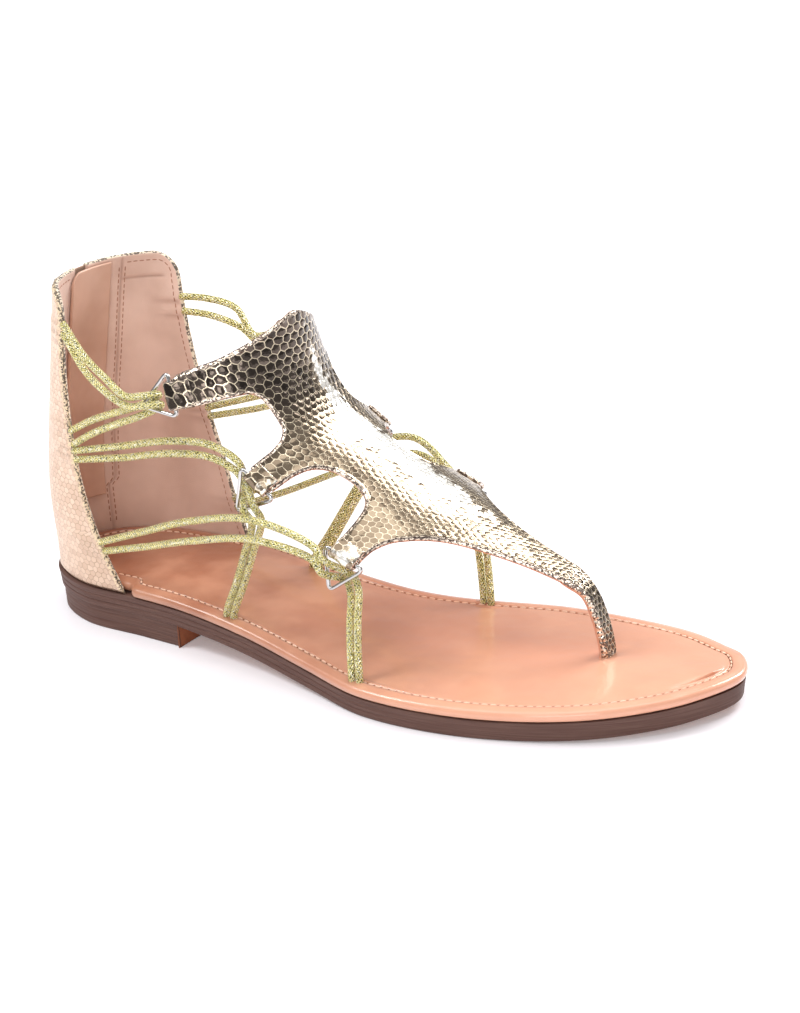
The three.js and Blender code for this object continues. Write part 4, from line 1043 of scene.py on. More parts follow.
def footbed_material():
    """Glossy tan leather, lighter at the forefoot, darker at the heel, with painted shade round the slots and
    the post and beside the groove.
    """
    material, tree, shader = new_material("tan footbed")
    place = place_mm(tree)
    grain = grouped(tree, GRAIN, Place=place, Size=0.5)
    along = node(tree, "ShaderNodeSeparateXYZ", {0: place}).outputs[0]
    front = step(tree, along, 10.0, 185.0)
    colour = blend(tree, front, (0.33, 0.115, 0.057), (0.77, 0.37, 0.235))
    pale = maths(tree, "MULTIPLY", step(tree, grain["Tone"], 0.35, 0.7), 0.35)
    colour = blend(tree, pale, colour, (0.86, 0.47, 0.30))
    # Painted shade in the slots, round the post and beside the groove.
    colour = blend(tree, mark(tree, "shade"), colour, (0.24, 0.085, 0.045))
    roughness = step(tree, grain["Tone"], 0.3, 0.7, 0.30, 0.42)
    fill_inputs(tree, shader, {"Base Color": colour, "Roughness": roughness})
    fill_inputs(tree, shader, {"Coat Weight": 0.8, "Coat Roughness": 0.12})
    lumps = noise(tree, place, 0.06, 2.0)
    raise_by(tree, shader, maths(tree, "MULTIPLY_ADD", lumps, 30.0, grain["Height"]), 0.05)
    return material


def sole_material():
    """Stacked brown sole: streaks along its side and a rust-coloured breast and underside."""
    material, tree, shader = new_material("stacked sole")
    place = place_mm(tree)
    stretched = vectors(tree, "MULTIPLY", cells_of(tree), (0.05, 2.4, 1.0)).outputs[0]
    streaks = noise(tree, stretched, 1.0, 4.0, 0.6)
    colour = blend(tree, step(tree, streaks, 0.35, 0.7), (0.098, 0.045, 0.034), (0.145, 0.076, 0.058))
    rust = blend(tree, noise(tree, place, 0.4), (0.26, 0.075, 0.028), (0.38, 0.125, 0.05))
    colour = blend(tree, mark(tree, "rust"), colour, rust)
    fill_inputs(tree, shader, {"Base Color": colour, "Roughness": 0.58, "Specular IOR Level": 0.3})
    raise_by(tree, shader, streaks, 0.06)
    return material


def metal_material(name, colour, roughness):
    """Polished metal with slight wear."""
    material, tree, shader = new_material(name)
    wear = noise(tree, place_mm(tree), 0.9, 3.0)
    worn = step(tree, wear, 0.3, 0.75, roughness, roughness + 0.1)
    fill_inputs(tree, shader, {"Base Color": colour, "Metallic": 1.0, "Roughness": worn})
    return material


def cord_material():
    """Braided metallic elastic: pale green gold with olive, dark and bright specks. The darker colour between
    the strands is partly the braid's own and partly painted shade, and the bright specks are painted glints.
    """
    material, tree, shader = new_material("metallic cord")
    place = place_mm(tree)
    strand_count = 8
    strand_pitch = 1.25
    turn, length, _ = node(tree, "ShaderNodeSeparateXYZ", {0: cells_of(tree)}).outputs
    strands = maths(tree, "MULTIPLY", turn, strand_count * TURN)
    advance = maths(tree, "MULTIPLY", length, TURN / strand_pitch)
    left = maths(tree, "SINE", maths(tree, "ADD", strands, advance))
    right = maths(tree, "SINE", maths(tree, "SUBTRACT", strands, advance))
    braid = maths(tree, "MAXIMUM", left, right)
    specks = grouped(tree, SPECKS, Place=place, Size=0.34)
    chance = specks["Random"]
    # Pale on the strands and darker between them: partly the braid's own colour, partly painted shade.
    base = blend(tree, step(tree, braid, -0.6, 0.7), (0.30, 0.25, 0.04), (0.86, 0.78, 0.33))
    base = blend(tree, step(tree, chance, 0.11, 0.07), base, (0.06, 0.07, 0.01))
    # Near-white specks: painted glints.
    base = blend(tree, step(tree, chance, 0.70, 0.80), base, (1.0, 0.97, 0.74))
    roughness = step(tree, chance, 0.2, 0.9, 0.45, 0.22)
    fill_inputs(tree, shader, {"Base Color": base, "Metallic": 0.55, "Roughness": roughness})
    height = maths(tree, "ADD", braid, maths(tree, "MULTIPLY", specks["Height"], 0.6))
    raise_by(tree, shader, height, 0.22)
    return material


def tape_material():
    """Woven zip tape."""
    material, tree, shader = new_material("zip tape")
    place = place_mm(tree)
    weave = node(tree, "ShaderNodeTexWave", {"Vector": place, "Scale": 1.4, "Distortion": 1.0},
                 bands_direction="Z").outputs["Fac"]
    colour = blend(tree, weave, (0.40, 0.25, 0.18), (0.55, 0.37, 0.27))
    fill_inputs(tree, shader, {"Base Color": colour, "Roughness": 0.85})
    raise_by(tree, shader, weave, 0.15)
    return material


FOIL = foil_material()
ROSE = counter_foil_material()
LINING = lining_material()
VAMP_LINING = leather_material("vamp lining", (0.60, 0.29, 0.19), (0.74, 0.40, 0.27), 0.55)
GUARD = leather_material("guard leather", (0.55, 0.32, 0.225), (0.67, 0.42, 0.31), 0.40, bump=0.03)
TAN = footbed_material()
SOLE = sole_material()
NICKEL = metal_material("polished nickel", (0.56, 0.55, 0.54), 0.08)
TEETH = metal_material("zip teeth metal", (0.70, 0.60, 0.42), 0.25)
CORD = cord_material()
TAPE = tape_material()
PULL = leather_material("pull leather", (0.56, 0.42, 0.33), (0.66, 0.51, 0.41), 0.5)
THREAD = leather_material("tan thread", (0.80, 0.50, 0.34), (0.90, 0.64, 0.48), 0.6, size=0.3, bump=0.1)
PINK_THREAD = leather_material("pink thread", (0.36, 0.17, 0.115), (0.46, 0.24, 0.165), 0.7, size=0.3)


def finish_piece(surface, name, materials, nodes, body="sandal"):
    """Makes the mesh with its materials, says what it rides on, and hides the CAD parts that it stands for.
    """
    piece = surface.build(name, materials)
    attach(piece, body)
    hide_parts(*nodes)
    return piece


def slab(surface, plan, normals, insets, heights, cap_steps, marks):
    """A closed slab: rows round its plan from the middle of its underside out to the rim, up the side, and
    back to the middle of its top. Each row is the plan moved in by an inset, or a share of the way from
    the rim to the middle line, which each point shares with the one across from it."""
    columns = len(plan)
    mirror = (-np.arange(columns)) % columns
    share = np.linspace(1, 0, cap_steps, endpoint=False)

    def cap(rim, height, shares):
        """Rows between a rim and the middle line, at shares of the way."""
        middle = (rim + rim[mirror]) / 2
        flat = rim[None] + (middle - rim)[None] * shares[:, None, None]
        x, y = flat[..., 0], flat[..., 1]
        return np.stack([x, y, height(x, y, shares[:, None])], axis=-1)

    rows = []
    first = plan - normals * insets[0][..., None]
    rows.append(cap(first, heights[0], share))
    for inset, height in zip(insets, heights):
        flat = plan - normals * np.broadcast_to(inset, columns)[:, None]
        z = height(flat[:, 0], flat[:, 1], 0.0)
        rows.append(np.stack([flat[:, 0], flat[:, 1], z], axis=-1)[None])
    last = plan - normals * insets[-1][..., None]
    rows.append(cap(last, heights[-1], share[::-1]))
    grid = np.vstack(rows)
    grid = np.concatenate([grid, grid[:, :1]], axis=1)
    cells = np.stack(np.broadcast_arrays(run_along(grid[cap_steps])[None], grid[..., 2]), axis=-1)
    surface.add(grid, cells, **marks(grid))


def stack_lines(up, places, width):
    """Depth of a side's stack lines as a share of the deepest: the sum of a bell at each line's place."""
    low, high = places
    return bell(up - low, width) + bell(up - high, width)


def rib_groove(up, x):
    """Depth of the two stack lines of the sole's side: bells at their heights, fading past the waist."""
    strength = 1 - ease(x, HEEL_LENGTH * 1.9, HEEL_LENGTH * 2.6)
    return RIB_DEPTH * strength * stack_lines(up, (0.40, 0.72), 0.04)


def make_outsole():
    """Outsole: the outline drawn in by a taper read from a table and by the stack lines' bells, at heights
    that follow the arch, and a heel block under it."""
    surface = Surface()
    tread_rows = 12
    taper_up = (0, 0.10, 0.34, 0.66, 1)
    taper_share = (1.0, 0.55, 0.42, 0.24, 0)
    insets = []
    heights = []
    for up in np.concatenate([np.linspace(0, 0.12, 5), np.linspace(0.16, 0.94, 34), np.linspace(0.96, 1, 3)]):
        insets.append(np.interp(up, taper_up, taper_share) * OUTSOLE_TAPER + rib_groove(up, edge[:, 0]))
        heights.append(lambda x, y, t, up=up: rise(x) + OUTSOLE_THICKNESS * up)

    def underside(grid):
        """Rust on the rows of the tread."""
        tread = np.arange(grid.shape[0])[:, None] < tread_rows
        return {"rust": np.broadcast_to(tread.astype(float), grid.shape[:2])}

    slab(surface, edge, edge_normal, insets, heights, tread_rows, underside)
    heel_block(surface)
    return finish_piece(surface, "outsole_look", [SOLE], ["outsole"])


def heel_block(surface):
    """Heel block: the outline up to the breast's parabola, closed by it, from the floor into the sheet above,
    drawn in by an even taper, a smooth step at its foot and the stack lines' bells."""

    def breast(y):
        """Place of the breast along the sole: a parabola across it."""
        return BREAST_PLACE + BREAST_BOW * (y / BALL_WIDTH) ** 2

    side_steps = 120
    front_steps = 80
    tread_rows = 8
    sought = np.linspace(0.02, 0.25, 4000)
    corners = {}
    for name, share in (("inner", sought), ("outer", 1 - sought)):
        point = outline(share)
        corners[name] = share[np.argmax(point[:, 0] > breast(point[:, 1]))]
    inner_side, inner_normal = outline_at(np.linspace(0, corners["inner"], side_steps))
    outer_side, outer_normal = outline_at(np.linspace(corners["outer"], 1, side_steps)[:-1])
    y = np.linspace(inner_side[-1, 1], outer_side[0, 1], front_steps + 2)[1:-1]
    front = np.stack([breast(y), y], axis=-1)
    plan = np.vstack([inner_side, front, outer_side])
    normals = np.vstack([inner_normal, np.tile((0.0, 0.0), (front_steps, 1)), outer_normal])
    is_front = np.concatenate([np.zeros(side_steps), np.ones(front_steps), np.zeros(side_steps - 1)])
    if len(plan) % 2:
        extra = side_steps + front_steps // 2
        plan, normals, is_front = (np.delete(rows, extra, axis=0) for rows in (plan, normals, is_front))
    insets = []
    heights = []
    for up in np.concatenate([[0, 0.03], np.linspace(0.06, 1.0, 30)]):
        foot_round = 0.35 * (1 - ease(up, 0, 0.07))
        line = HEEL_LINE_DEPTH * stack_lines(up, (0.36, 0.70), 0.025)
        insets.append(np.full(len(plan), OUTSOLE_TAPER * (1.25 - 0.3 * up) + foot_round + line))
        heights.append(lambda x, y, t, up=up: (rise(x) + HEEL_OVERLAP) * up)

    def breast_rust(grid):
        """Rust on the breast's columns and on the rows of the tread."""
        column = np.append(is_front, is_front[0])
        under = np.arange(grid.shape[0])[:, None] < tread_rows
        return {"rust": np.maximum(np.broadcast_to(column[None], grid.shape[:2]), under * 1.0)}

    slab(surface, plan, normals, insets, heights, tread_rows, breast_rust)


def footbed_inset(x, y):
    """How far the footbed stands in from the outline: a seat inside the counter, which a smooth step at the
    counter's front edge turns into an overhang."""
    front = np.where(y >= 0, COUNTER["inner"][0], COUNTER["outer"][0]) * FOOT_LENGTH
    seat = COUNTER_INSET + COUNTER_WALL + SEAM + SEAT_CLEARANCE
    return seat - (seat + FOOTBED_OVERHANG) * ease(x, front + 1.2, front + 5)


def slot_marks(x, y):
    """Dent in millimetres and shade at a place: bells of its distance from each cord's slot and from the
    post, with five faint puckers round a slot."""
    dent = np.zeros(np.shape(x))
    shade = np.zeros(np.shape(x))
    for side, place in SLOTS:
        cx, cy = slot_centre(side, place)
        away = np.hypot((x - cx) / 1.35, y - cy)
        angle = np.arctan2(y - cy, x - cx)
        dent += 0.9 * bell(away, 3.4) + 0.12 * np.cos(5 * angle + cx) * bell(away - 5, 3.0)
        shade += bell(away, 1.9)
    px, py = POST_PLACE * FOOT_LENGTH, POST_SHIFT * BALL_WIDTH
    away = np.hypot((x - px) / 0.8, (y - py) / 1.4)
    dent += 0.7 * bell(away, 3.6)
    shade += 0.8 * bell(away, 2.3)
    return dent, np.clip(shade, 0, 1)


def make_footbed():
    """Footbed: an edge rolled in half an ellipse, a band that swells as half a sine up to the groove's bell,
    and a crown that rises as a quarter sine, with slow waves and dents at the slots and the post."""
    surface = Surface()
    base = footbed_inset(edge[:, 0], edge[:, 1])
    roll = 1.6
    pad = 0.12
    wave = 0.18
    angles = np.linspace(-math.pi / 2, math.pi / 2, 18)
    insets = [base + roll * (1 - math.cos(a)) for a in angles]
    flats = [0.5 + 0.5 * math.sin(a) for a in angles]
    heights = [lambda x, y, t, f=f: footbed_bottom(x) + FOOTBED_THICKNESS * f for f in flats]
    rows = np.concatenate([np.linspace(1.9, 4.1, 8), np.linspace(4.25, 5.9, 18), [6.2, 6.6]])
    for inset in rows:
        insets.append(base + inset)
        swell = 0.35 * math.sin(math.pi * (inset - roll) / 3.4) if inset < GROOVE_INSET else 0
        cut = GROOVE_DEPTH * float(bell(inset - GROOVE_INSET, 0.42))
        lift = pad * float(ease(inset, GROOVE_INSET, GROOVE_INSET + 1.6))
        heights.append(lambda x, y, t, d=swell - cut + lift: footbed_top(x) + d)

    def crowned(x, y, t):
        """Height of the padded top, t of the way from its rim to its middle line."""
        dent, _ = slot_marks(x, y)
        crown = FOOTBED_CROWN * np.sin(np.minimum(t, 1) * math.pi / 2)
        slow = wave * np.sin(x / 11.0 + y / 17.0) * np.sin(y / 9.0 - x / 23.0) * ease(t, 0, 0.4)
        return footbed_top(x) + pad + crown + slow - dent

    heights[-1] = crowned
    groove_row = CAP_ROWS + len(angles) + int(np.argmin(np.abs(rows - GROOVE_INSET)))

    def shade(grid):
        """Painted shade: dark in the slots and, more lightly, in the rows beside the groove."""
        row = np.arange(grid.shape[0])[:, None]
        near = bell(row - groove_row, 5.0) * (grid[..., 2] > footbed_top(grid[..., 0]) - 1.5)
        return {"shade": np.maximum(slot_marks(grid[..., 0], grid[..., 1])[1] * 0.85, 0.7 * near)}

    slab(surface, edge, edge_normal, insets, heights, CAP_ROWS, shade)
    thread_path(surface, base)
    return finish_piece(surface, "footbed_look", [TAN, THREAD], ["footbed"])


def thread_path(surface, base):
    """Row of stitches in the footbed's groove: the outline drawn in, a little below the footbed's top."""
    sunk = 0.12
    plan = edge - edge_normal * (base + GROOVE_INSET)[:, None]
    path = np.column_stack([plan, footbed_top(plan[:, 0]) - sunk])
    path = np.vstack([path, path[:1]])
    normal = np.tile((0.0, 0.0, 1.0), (len(path), 1))
    stitches(surface, path, normal, pitch=2.75, length=2.05, radius=0.32, look=1)


def panel_grid(sign, rows, columns, sunk):
    """Points of one side of the counter, from the back seam or the zip's slot to the front edge: rows at
    heights whose share is a sine, so that they lie closer at the top, and columns dense at both ends."""
    up = np.sin(np.linspace(0, math.pi / 2, rows))[:, None]
    gap = ZIP_WIDTH / 2 + SEAM
    slot_side = np.abs(around_at(sign * gap, up))
    start = slot_side * ease(up * COUNTER_HEIGHT, ZIP_START - 1.2, ZIP_START + 0.6)
    around = sign * (start + (1 - start) * ends_dense(columns)[None])
    return counter_point(around, np.broadcast_to(up, around.shape), sunk)


def make_counter():
    """Counter: two panels from the back seam to the front edges, foil outside and lined inside, each a sheet
    whose rims are half circles. Its reaches add a bell along the rim, one beside each cord's run into the
    edge, and on the lining the drawn-in seam beside the zip's guard and slow waves."""
    surface = Surface()
    half_wall = COUNTER_WALL / 2
    scale_width, scale_height = 2.3, 2.0
    for name, sign in SIDES.items():
        middle = panel_grid(sign, *PANEL_COUNTS, half_wall)
        outward = unit(middle - panel_grid(sign, *PANEL_COUNTS, half_wall + NORMAL_STEP))
        run = run_along(middle, 1)
        height = middle[..., 2] - counter_foot()
        to_front = run[:, -1:] - run
        to_top = COUNTER_HEIGHT - height
        edge_depth = np.minimum(to_front, to_top)
        depth = np.minimum(edge_depth, np.minimum(run, height))
        inside = depth > 0
        half = rounded(depth, half_wall)
        channels = np.zeros(middle.shape[:2])
        creases = np.zeros(middle.shape[:2])
        for up in [share for key in (f"high_{name}", "tie", "side", "low") for share in ANCHORS[key]]:
            level = height - up * COUNTER_HEIGHT
            channels += 0.42 * bell(level, 1.5) * ease(to_front, 0.2, 2.0) * (1 - ease(to_front, 6, 15))
            # Creases only in colour: a band just below each cord's run, painted shade on the foil and the
            # lining.
            creases += 0.5 * bell(level + 1.8, 0.7) * (1 - ease(to_front, 3, 14))
        drawn = lining_seam(run, to_top) if sign > 0 else np.zeros(middle.shape[:2])
        waves = 0.25 * np.sin(height / 7.0 + run / 9.0) * np.sin(run / 6.0 - height / 19.0)
        waves *= ease(depth, 1, 8)
        outer = half + 0.28 * bell(edge_depth - 1.5, 0.9) * inside + channels * inside
        lining_rim = 0.10 * bell(edge_depth - 1.2, 0.8)
        inner = half + (lining_rim + channels * 0.8 - 0.35 * drawn + waves) * inside
        sheet(
            surface, middle, outward, outer, inner,
            np.stack([sign * run / scale_width, height / scale_height], axis=-1), (0, 1),
            edge=edge_depth, crease=np.clip(creases + 0.6 * drawn, 0, 1) * ease(depth, 0.5, 1.5),
            scuff=np.clip(creases, 0, 1) * ease(depth, 0.5, 1.5),
        )
        lining_stitches(surface, sign, middle, outward, inner)
    return finish_piece(surface, "counter_look", [ROSE, LINING, PINK_THREAD], ["counter"])


def lining_seam(run, to_top):
    """The seam in the lining: a bell along a line beside the guard, and one across under the top that ends
    part of the way to the front."""
    width = 0.45
    across = bell(to_top - 8.5, width) * ease(run, LINING_SEAM, LINING_SEAM + 1)
    return np.clip(bell(run - LINING_SEAM, width) + across * (1 - ease(run, 28, 31)), 0, 1)


def on_panel(middle, run, height, u, z):
    """Places of a panel's grid at given lengths along its rows and heights: the two rows beside a height
    are blended, then the two columns beside the length."""
    levels = height[:, 0]
    row = np.interp(z, levels, np.arange(len(levels)))
    r = np.minimum(row.astype(int), len(levels) - 2)
    w = (row - r)[:, None]
    lengths = run[r] * (1 - w) + run[r + 1] * w
    points = middle[r] * (1 - w[..., None]) + middle[r + 1] * w[..., None]
    c = np.clip((lengths < u[:, None]).sum(axis=1) - 1, 0, run.shape[1] - 2)
    n = np.arange(len(u))
    t = (u - lengths[n, c]) / np.maximum(lengths[n, c + 1] - lengths[n, c], 1e-9)
    t = np.clip(t, 0, 1)[:, None]
    return points[n, c] * (1 - t) + points[n, c + 1] * t


def lining_stitches(surface, sign, middle, outward, inner):
    """Stitches on the lining: a row inside the front and top edges, and on the inner side one along the
    seam beside the zip's guard. Rows follow the edge, drawn in by a length."""
    run = run_along(middle, 1)
    face = middle - outward * inner[..., None]
    height = middle[..., 2] - counter_foot()
    inset = 2.9
    guard_rows = (16.0, 13.8)
    levels = np.linspace(3.5, COUNTER_HEIGHT - COUNTER_CORNER, 120)
    front = np.interp(levels, height[:, 0], run[:, -1])
    corner = np.linspace(0, math.pi / 2, 24)[1:]
    radius = COUNTER_CORNER - inset
    corner_u = front[-1] - COUNTER_CORNER + radius * np.cos(corner)
    corner_z = COUNTER_HEIGHT - COUNTER_CORNER + radius * np.sin(corner)
    start = 3.5 if sign < 0 else 15.5
    top_u = np.linspace(corner_u[-1], start, 30)[1:]
    u = np.concatenate([front - inset, corner_u, top_u])
    z = np.concatenate([levels, corner_z, np.full(len(top_u), corner_z[-1])])
    rows = [(u, z)]
    if sign > 0:
        down = np.linspace(COUNTER_HEIGHT - 4, 6, 120)
        rows += [(np.full(len(down), place), down) for place in guard_rows]
    for u, z in rows:
        path = on_panel(face, run, height, u, z)
        normal = unit(-on_panel(outward, run, height, u, z))
        stitches(surface, path, normal, pitch=2.1, length=1.55, radius=0.2, look=2)


def band_grid(low, high, left, right, sunk, rows, columns, top_corner=0.0):
    """Points along the counter's back, between two heights and two places across, sunk into it. The top is
    drawn down by a quarter circle at the left end."""
    y = left + (right - left) * ends_dense(columns)[None]
    into = np.maximum(0, left + top_corner - y)
    drop = top_corner - np.sqrt(np.maximum(0, top_corner**2 - into**2)) if top_corner else 0.0
    top = (high - drop) / COUNTER_HEIGHT
    up = low / COUNTER_HEIGHT + (top - low / COUNTER_HEIGHT) * ends_dense(rows)[:, None]
    up = np.broadcast_to(up, (rows, columns))
    y = np.broadcast_to(y, (rows, columns))
    return counter_point(around_at(y, up), up, sunk)


def make_band(surface, thickness, *place):
    """A band along the counter's back: a sheet with rounded edges on both sides of the band's grid, whose
    place is its lower and upper end, its left and right, its depth, its counts and its corner."""
    low, high, left, right, sunk, *rest = place
    middle = band_grid(*place)
    deeper = band_grid(low, high, left, right, sunk + NORMAL_STEP, *rest)
    half = rounded(border_depth(middle), thickness / 2)
    sheet(surface, middle, unit(middle - deeper), half, half, looks=(0, 0))


def make_guard():
    """Zip guard: a smooth flap inside the zip with rounded edges and one round top corner."""
    surface = Surface()
    sunk = COUNTER_WALL + SEAM + GUARD_THICKNESS / 2
    make_band(
        surface, GUARD_THICKNESS,
        GUARD_START, GUARD_TOP, -GUARD_OUTER_REACH, GUARD_INNER_REACH, sunk, 90, 50, GUARD_CORNER,
    )
    return finish_piece(surface, "zip_guard_look", [GUARD], ["zip_guard"])


def make_tape():
    """Zip tape between the panels, with two rows of closed teeth, each a small block with round edges."""
    surface = Surface()
    reach = ZIP_WIDTH / 2 + 0.5
    make_band(surface, 0.8, ZIP_START, COUNTER_HEIGHT - 0.5, -reach, reach, COUNTER_WALL / 2, 70, 26)
    tooth_size = (1.0, 1.44, 0.68)
    tooth_shift = 0.38
    tooth_depth = 0.35
    for row, side in enumerate((-1, 1)):
        z = np.arange(ZIP_START + 1.2 + row * TOOTH_PITCH / 2, COUNTER_HEIGHT - 2, TOOTH_PITCH)
        up = z / COUNTER_HEIGHT
        around = around_at(np.full(len(z), side * tooth_shift), up)
        for centre in counter_point(around, up, tooth_depth):
            block(surface, centre, np.eye(3), tooth_size, 0.5, counts=(7, 9), look=1)
    return finish_piece(surface, "zip_tape_look", [TAPE, TEETH], ["zip_tape"])


def back_line(up):
    """Place of the counter's back line in the middle plane."""
    x = float(counter_column("back", up, FOOT_LENGTH))
    return np.array([x, 0.0, counter_foot() + up * COUNTER_HEIGHT])


def slider_frame():
    """Frame of the slider: its place on the back, the way out, the way down, the way across."""
    up = 1 - SLIDER_DROP / COUNTER_HEIGHT
    face = back_line(up)
    down = unit(back_line(up - PULL_LENGTH / COUNTER_HEIGHT) - face)
    across = np.array([0.0, 1.0, 0.0])
    out = unit(np.cross(down, across))
    if out[0] > 0:
        out = -out
    return face, out, down, across


def pull_hinge():
    """Where the pull's hinge pin lies: out from the back by the teeth, the slider and the pull's eye."""
    face, out, _, _ = slider_frame()
    return face + out * (TEETH_HEIGHT + SEAM + SLIDER_HEIGHT + PULL_BORE + PULL_EYE_WALL + SEAM)


def pull_hang():
    """The way the pull hangs: from its pin to its end, which lies close to the teeth."""
    end = back_line(1 - (SLIDER_DROP + PULL_LENGTH) / COUNTER_HEIGHT)
    end = end + slider_frame()[1] * (TEETH_HEIGHT + SEAM + PULL_THICKNESS / 2)
    return unit(end - pull_hinge())


def block(surface, centre, axes, size, power=0.35, taper=0.0, counts=(25, 41), look=0):
    """A block with rounded edges: sines and cosines of a sphere to a power, times the half sizes along
    three axes, narrowed along the first axis by the taper."""
    u = np.linspace(-math.pi / 2, math.pi / 2, counts[0])[:, None]
    v = np.linspace(0, TURN, counts[1])[None]

    def bend(w):
        """The power of a sine or cosine, with its sign kept."""
        return np.sign(w) * np.abs(w) ** power

    a = bend(np.broadcast_to(np.sin(u), counts))
    b = bend(np.cos(u)) * bend(np.cos(v)) * (1 - taper * a)
    c = bend(np.cos(u)) * bend(np.sin(v))
    grid = centre + sum(
        w[..., None] * np.asarray(axis) * half for w, axis, half in zip((a, b, c), axes, np.divide(size, 2))
    )
    surface.add(grid, look=look)


def make_slider():
    """Slider: a tapered plate, the bridge on it, two ears and a pin, each a block or tube in its frame."""
    surface = Surface()
    face, out, down, across = slider_frame()
    hinge = pull_hinge()
    plate_thickness = 1.5
    ear_thickness = 0.85
    lift = TEETH_HEIGHT + SEAM
    plate = face + out * (lift + plate_thickness / 2)
    block(surface, plate, (down, across, out), (SLIDER_LENGTH, SLIDER_WIDTH, plate_thickness), 0.4, 0.16)
    bridge = face + out * (lift + 1.6) - down * 1.2
    block(surface, bridge, (down, across, out), (5.6, 3.2, 1.6), 0.45, 0.1)
    for sign in (-1, 1):
        ear = hinge + across * sign * (PULL_WIDTH / 2 + SEAM + 0.45) - out * 1.0
        block(surface, ear, (out, down, across), (4.2, 3.0, ear_thickness), 0.5)
    reach = PULL_WIDTH / 2 + SEAM + 0.7
    tube(surface, hinge + np.linspace(-reach, reach, 12)[:, None] * across, PIN_RADIUS, 16)
    return finish_piece(surface, "zip_slider_look", [NICKEL], ["zip_slider"])


def make_pull():
    """Zip pull: a leather strip with round corners, a pressed channel and stitches along its edges, and an
    eye round the pin, both of them sheets with rounded rims."""
    surface = Surface()
    across = slider_frame()[3]
    down = pull_hang()
    out = unit(-np.cross(across, down))
    hinge = pull_hinge()
    start = PULL_BORE + PULL_EYE_WALL / 2
    length = PULL_LENGTH - start
    corner = 1.7
    seam_inset = 0.95
    s = length * ends_dense(90)[:, None]
    into = np.maximum(0, np.maximum(corner - s, s - (length - corner)))
    reach = PULL_WIDTH / 2 - corner + np.sqrt(np.maximum(0, corner**2 - into**2))
    y = reach * (2 * ends_dense(34)[None] - 1)
    middle = hinge + down * (start + s[..., None] + 0 * y[..., None]) + across * y[..., None]
    side_depth = np.minimum(reach - np.abs(y), np.minimum(s, length - s) + 0 * y)
    half = rounded(side_depth, PULL_THICKNESS / 2)
    half = half - 0.10 * bell(side_depth - seam_inset, 0.3) * (half > 0)
    sheet(surface, middle, np.broadcast_to(out, middle.shape), half, half, looks=(0, 0))
    angle = np.linspace(0, TURN, 41)[:, None]
    w = PULL_WIDTH / 2 * (2 * ends_dense(20) - 1)
    ring = (down * np.cos(angle) + out * np.sin(angle))[:, None]
    eye = hinge + ring * start + across * w[None, :, None]
    thick = np.broadcast_to(rounded(PULL_WIDTH / 2 - np.abs(w), PULL_EYE_WALL / 2)[None], eye.shape[:2])
    sheet(surface, eye, np.broadcast_to(ring, eye.shape), thick, thick, looks=(0, 0))
    steps = np.linspace(2.2, length - 1.1, 60)
    for sign in (-1, 1):
        for face in (-1, 1):
            path = hinge + down * (start + steps[:, None]) + across * sign * (PULL_WIDTH / 2 - seam_inset)
            path = path + out * face * (PULL_THICKNESS / 2 - 0.08)
            normal = np.tile(out * face, (len(steps), 1))
            stitches(surface, path, normal, pitch=1.7, length=1.2, radius=0.14, look=1)
    return finish_piece(surface, "zip_pull_look", [PULL, THREAD], ["zip_pull"], "zip_pull")


def vamp_half(along):
    """Half width of the vamp: its table on the bridge, easing to the post's on the way down."""
    end = VAMP_HALF["half"][-1] * BALL_WIDTH
    bridge = steady_table(VAMP_HALF["along"], VAMP_HALF["half"], np.minimum(along, 1)) * BALL_WIDTH
    post = POST_WIDTH / 2 + (end - POST_WIDTH / 2) * (1 - ease(along - 1, 0, 0.3))
    return np.where(along <= 1, bridge, post)


def vamp_rows():
    """Places along the spine: even steps on the bridge, more of them at the tabs' ends, then the post."""
    even = np.linspace(0, 1, 300)
    tab_ends = (0.004, 0.148, 0.286, 0.352, 0.541, 0.617)
    steps = [np.linspace(at - 0.006, at + 0.008, 14) for at in tab_ends]
    inside = np.unique(np.round(np.concatenate([even, *steps]), 6))
    inside = inside[(inside >= 0) & (inside < 1)]
    return np.concatenate([inside, 1 + np.linspace(0, 1, 70)])


def border_distance(x, y, line_x, line_y):
    """Distance of points from a line of short pieces: to the nearest place on each piece, the least."""
    px, py = x.reshape(-1, 1), y.reshape(-1, 1)
    ax, ay = line_x[None, :-1], line_y[None, :-1]
    dx, dy = np.diff(line_x)[None], np.diff(line_y)[None]
    long = np.maximum(dx * dx + dy * dy, 1e-9)
    t = np.clip(((px - ax) * dx + (py - ay) * dy) / long, 0, 1)
    away = np.hypot(px - ax - t * dx, py - ay - t * dy)
    return away.min(axis=1).reshape(x.shape)


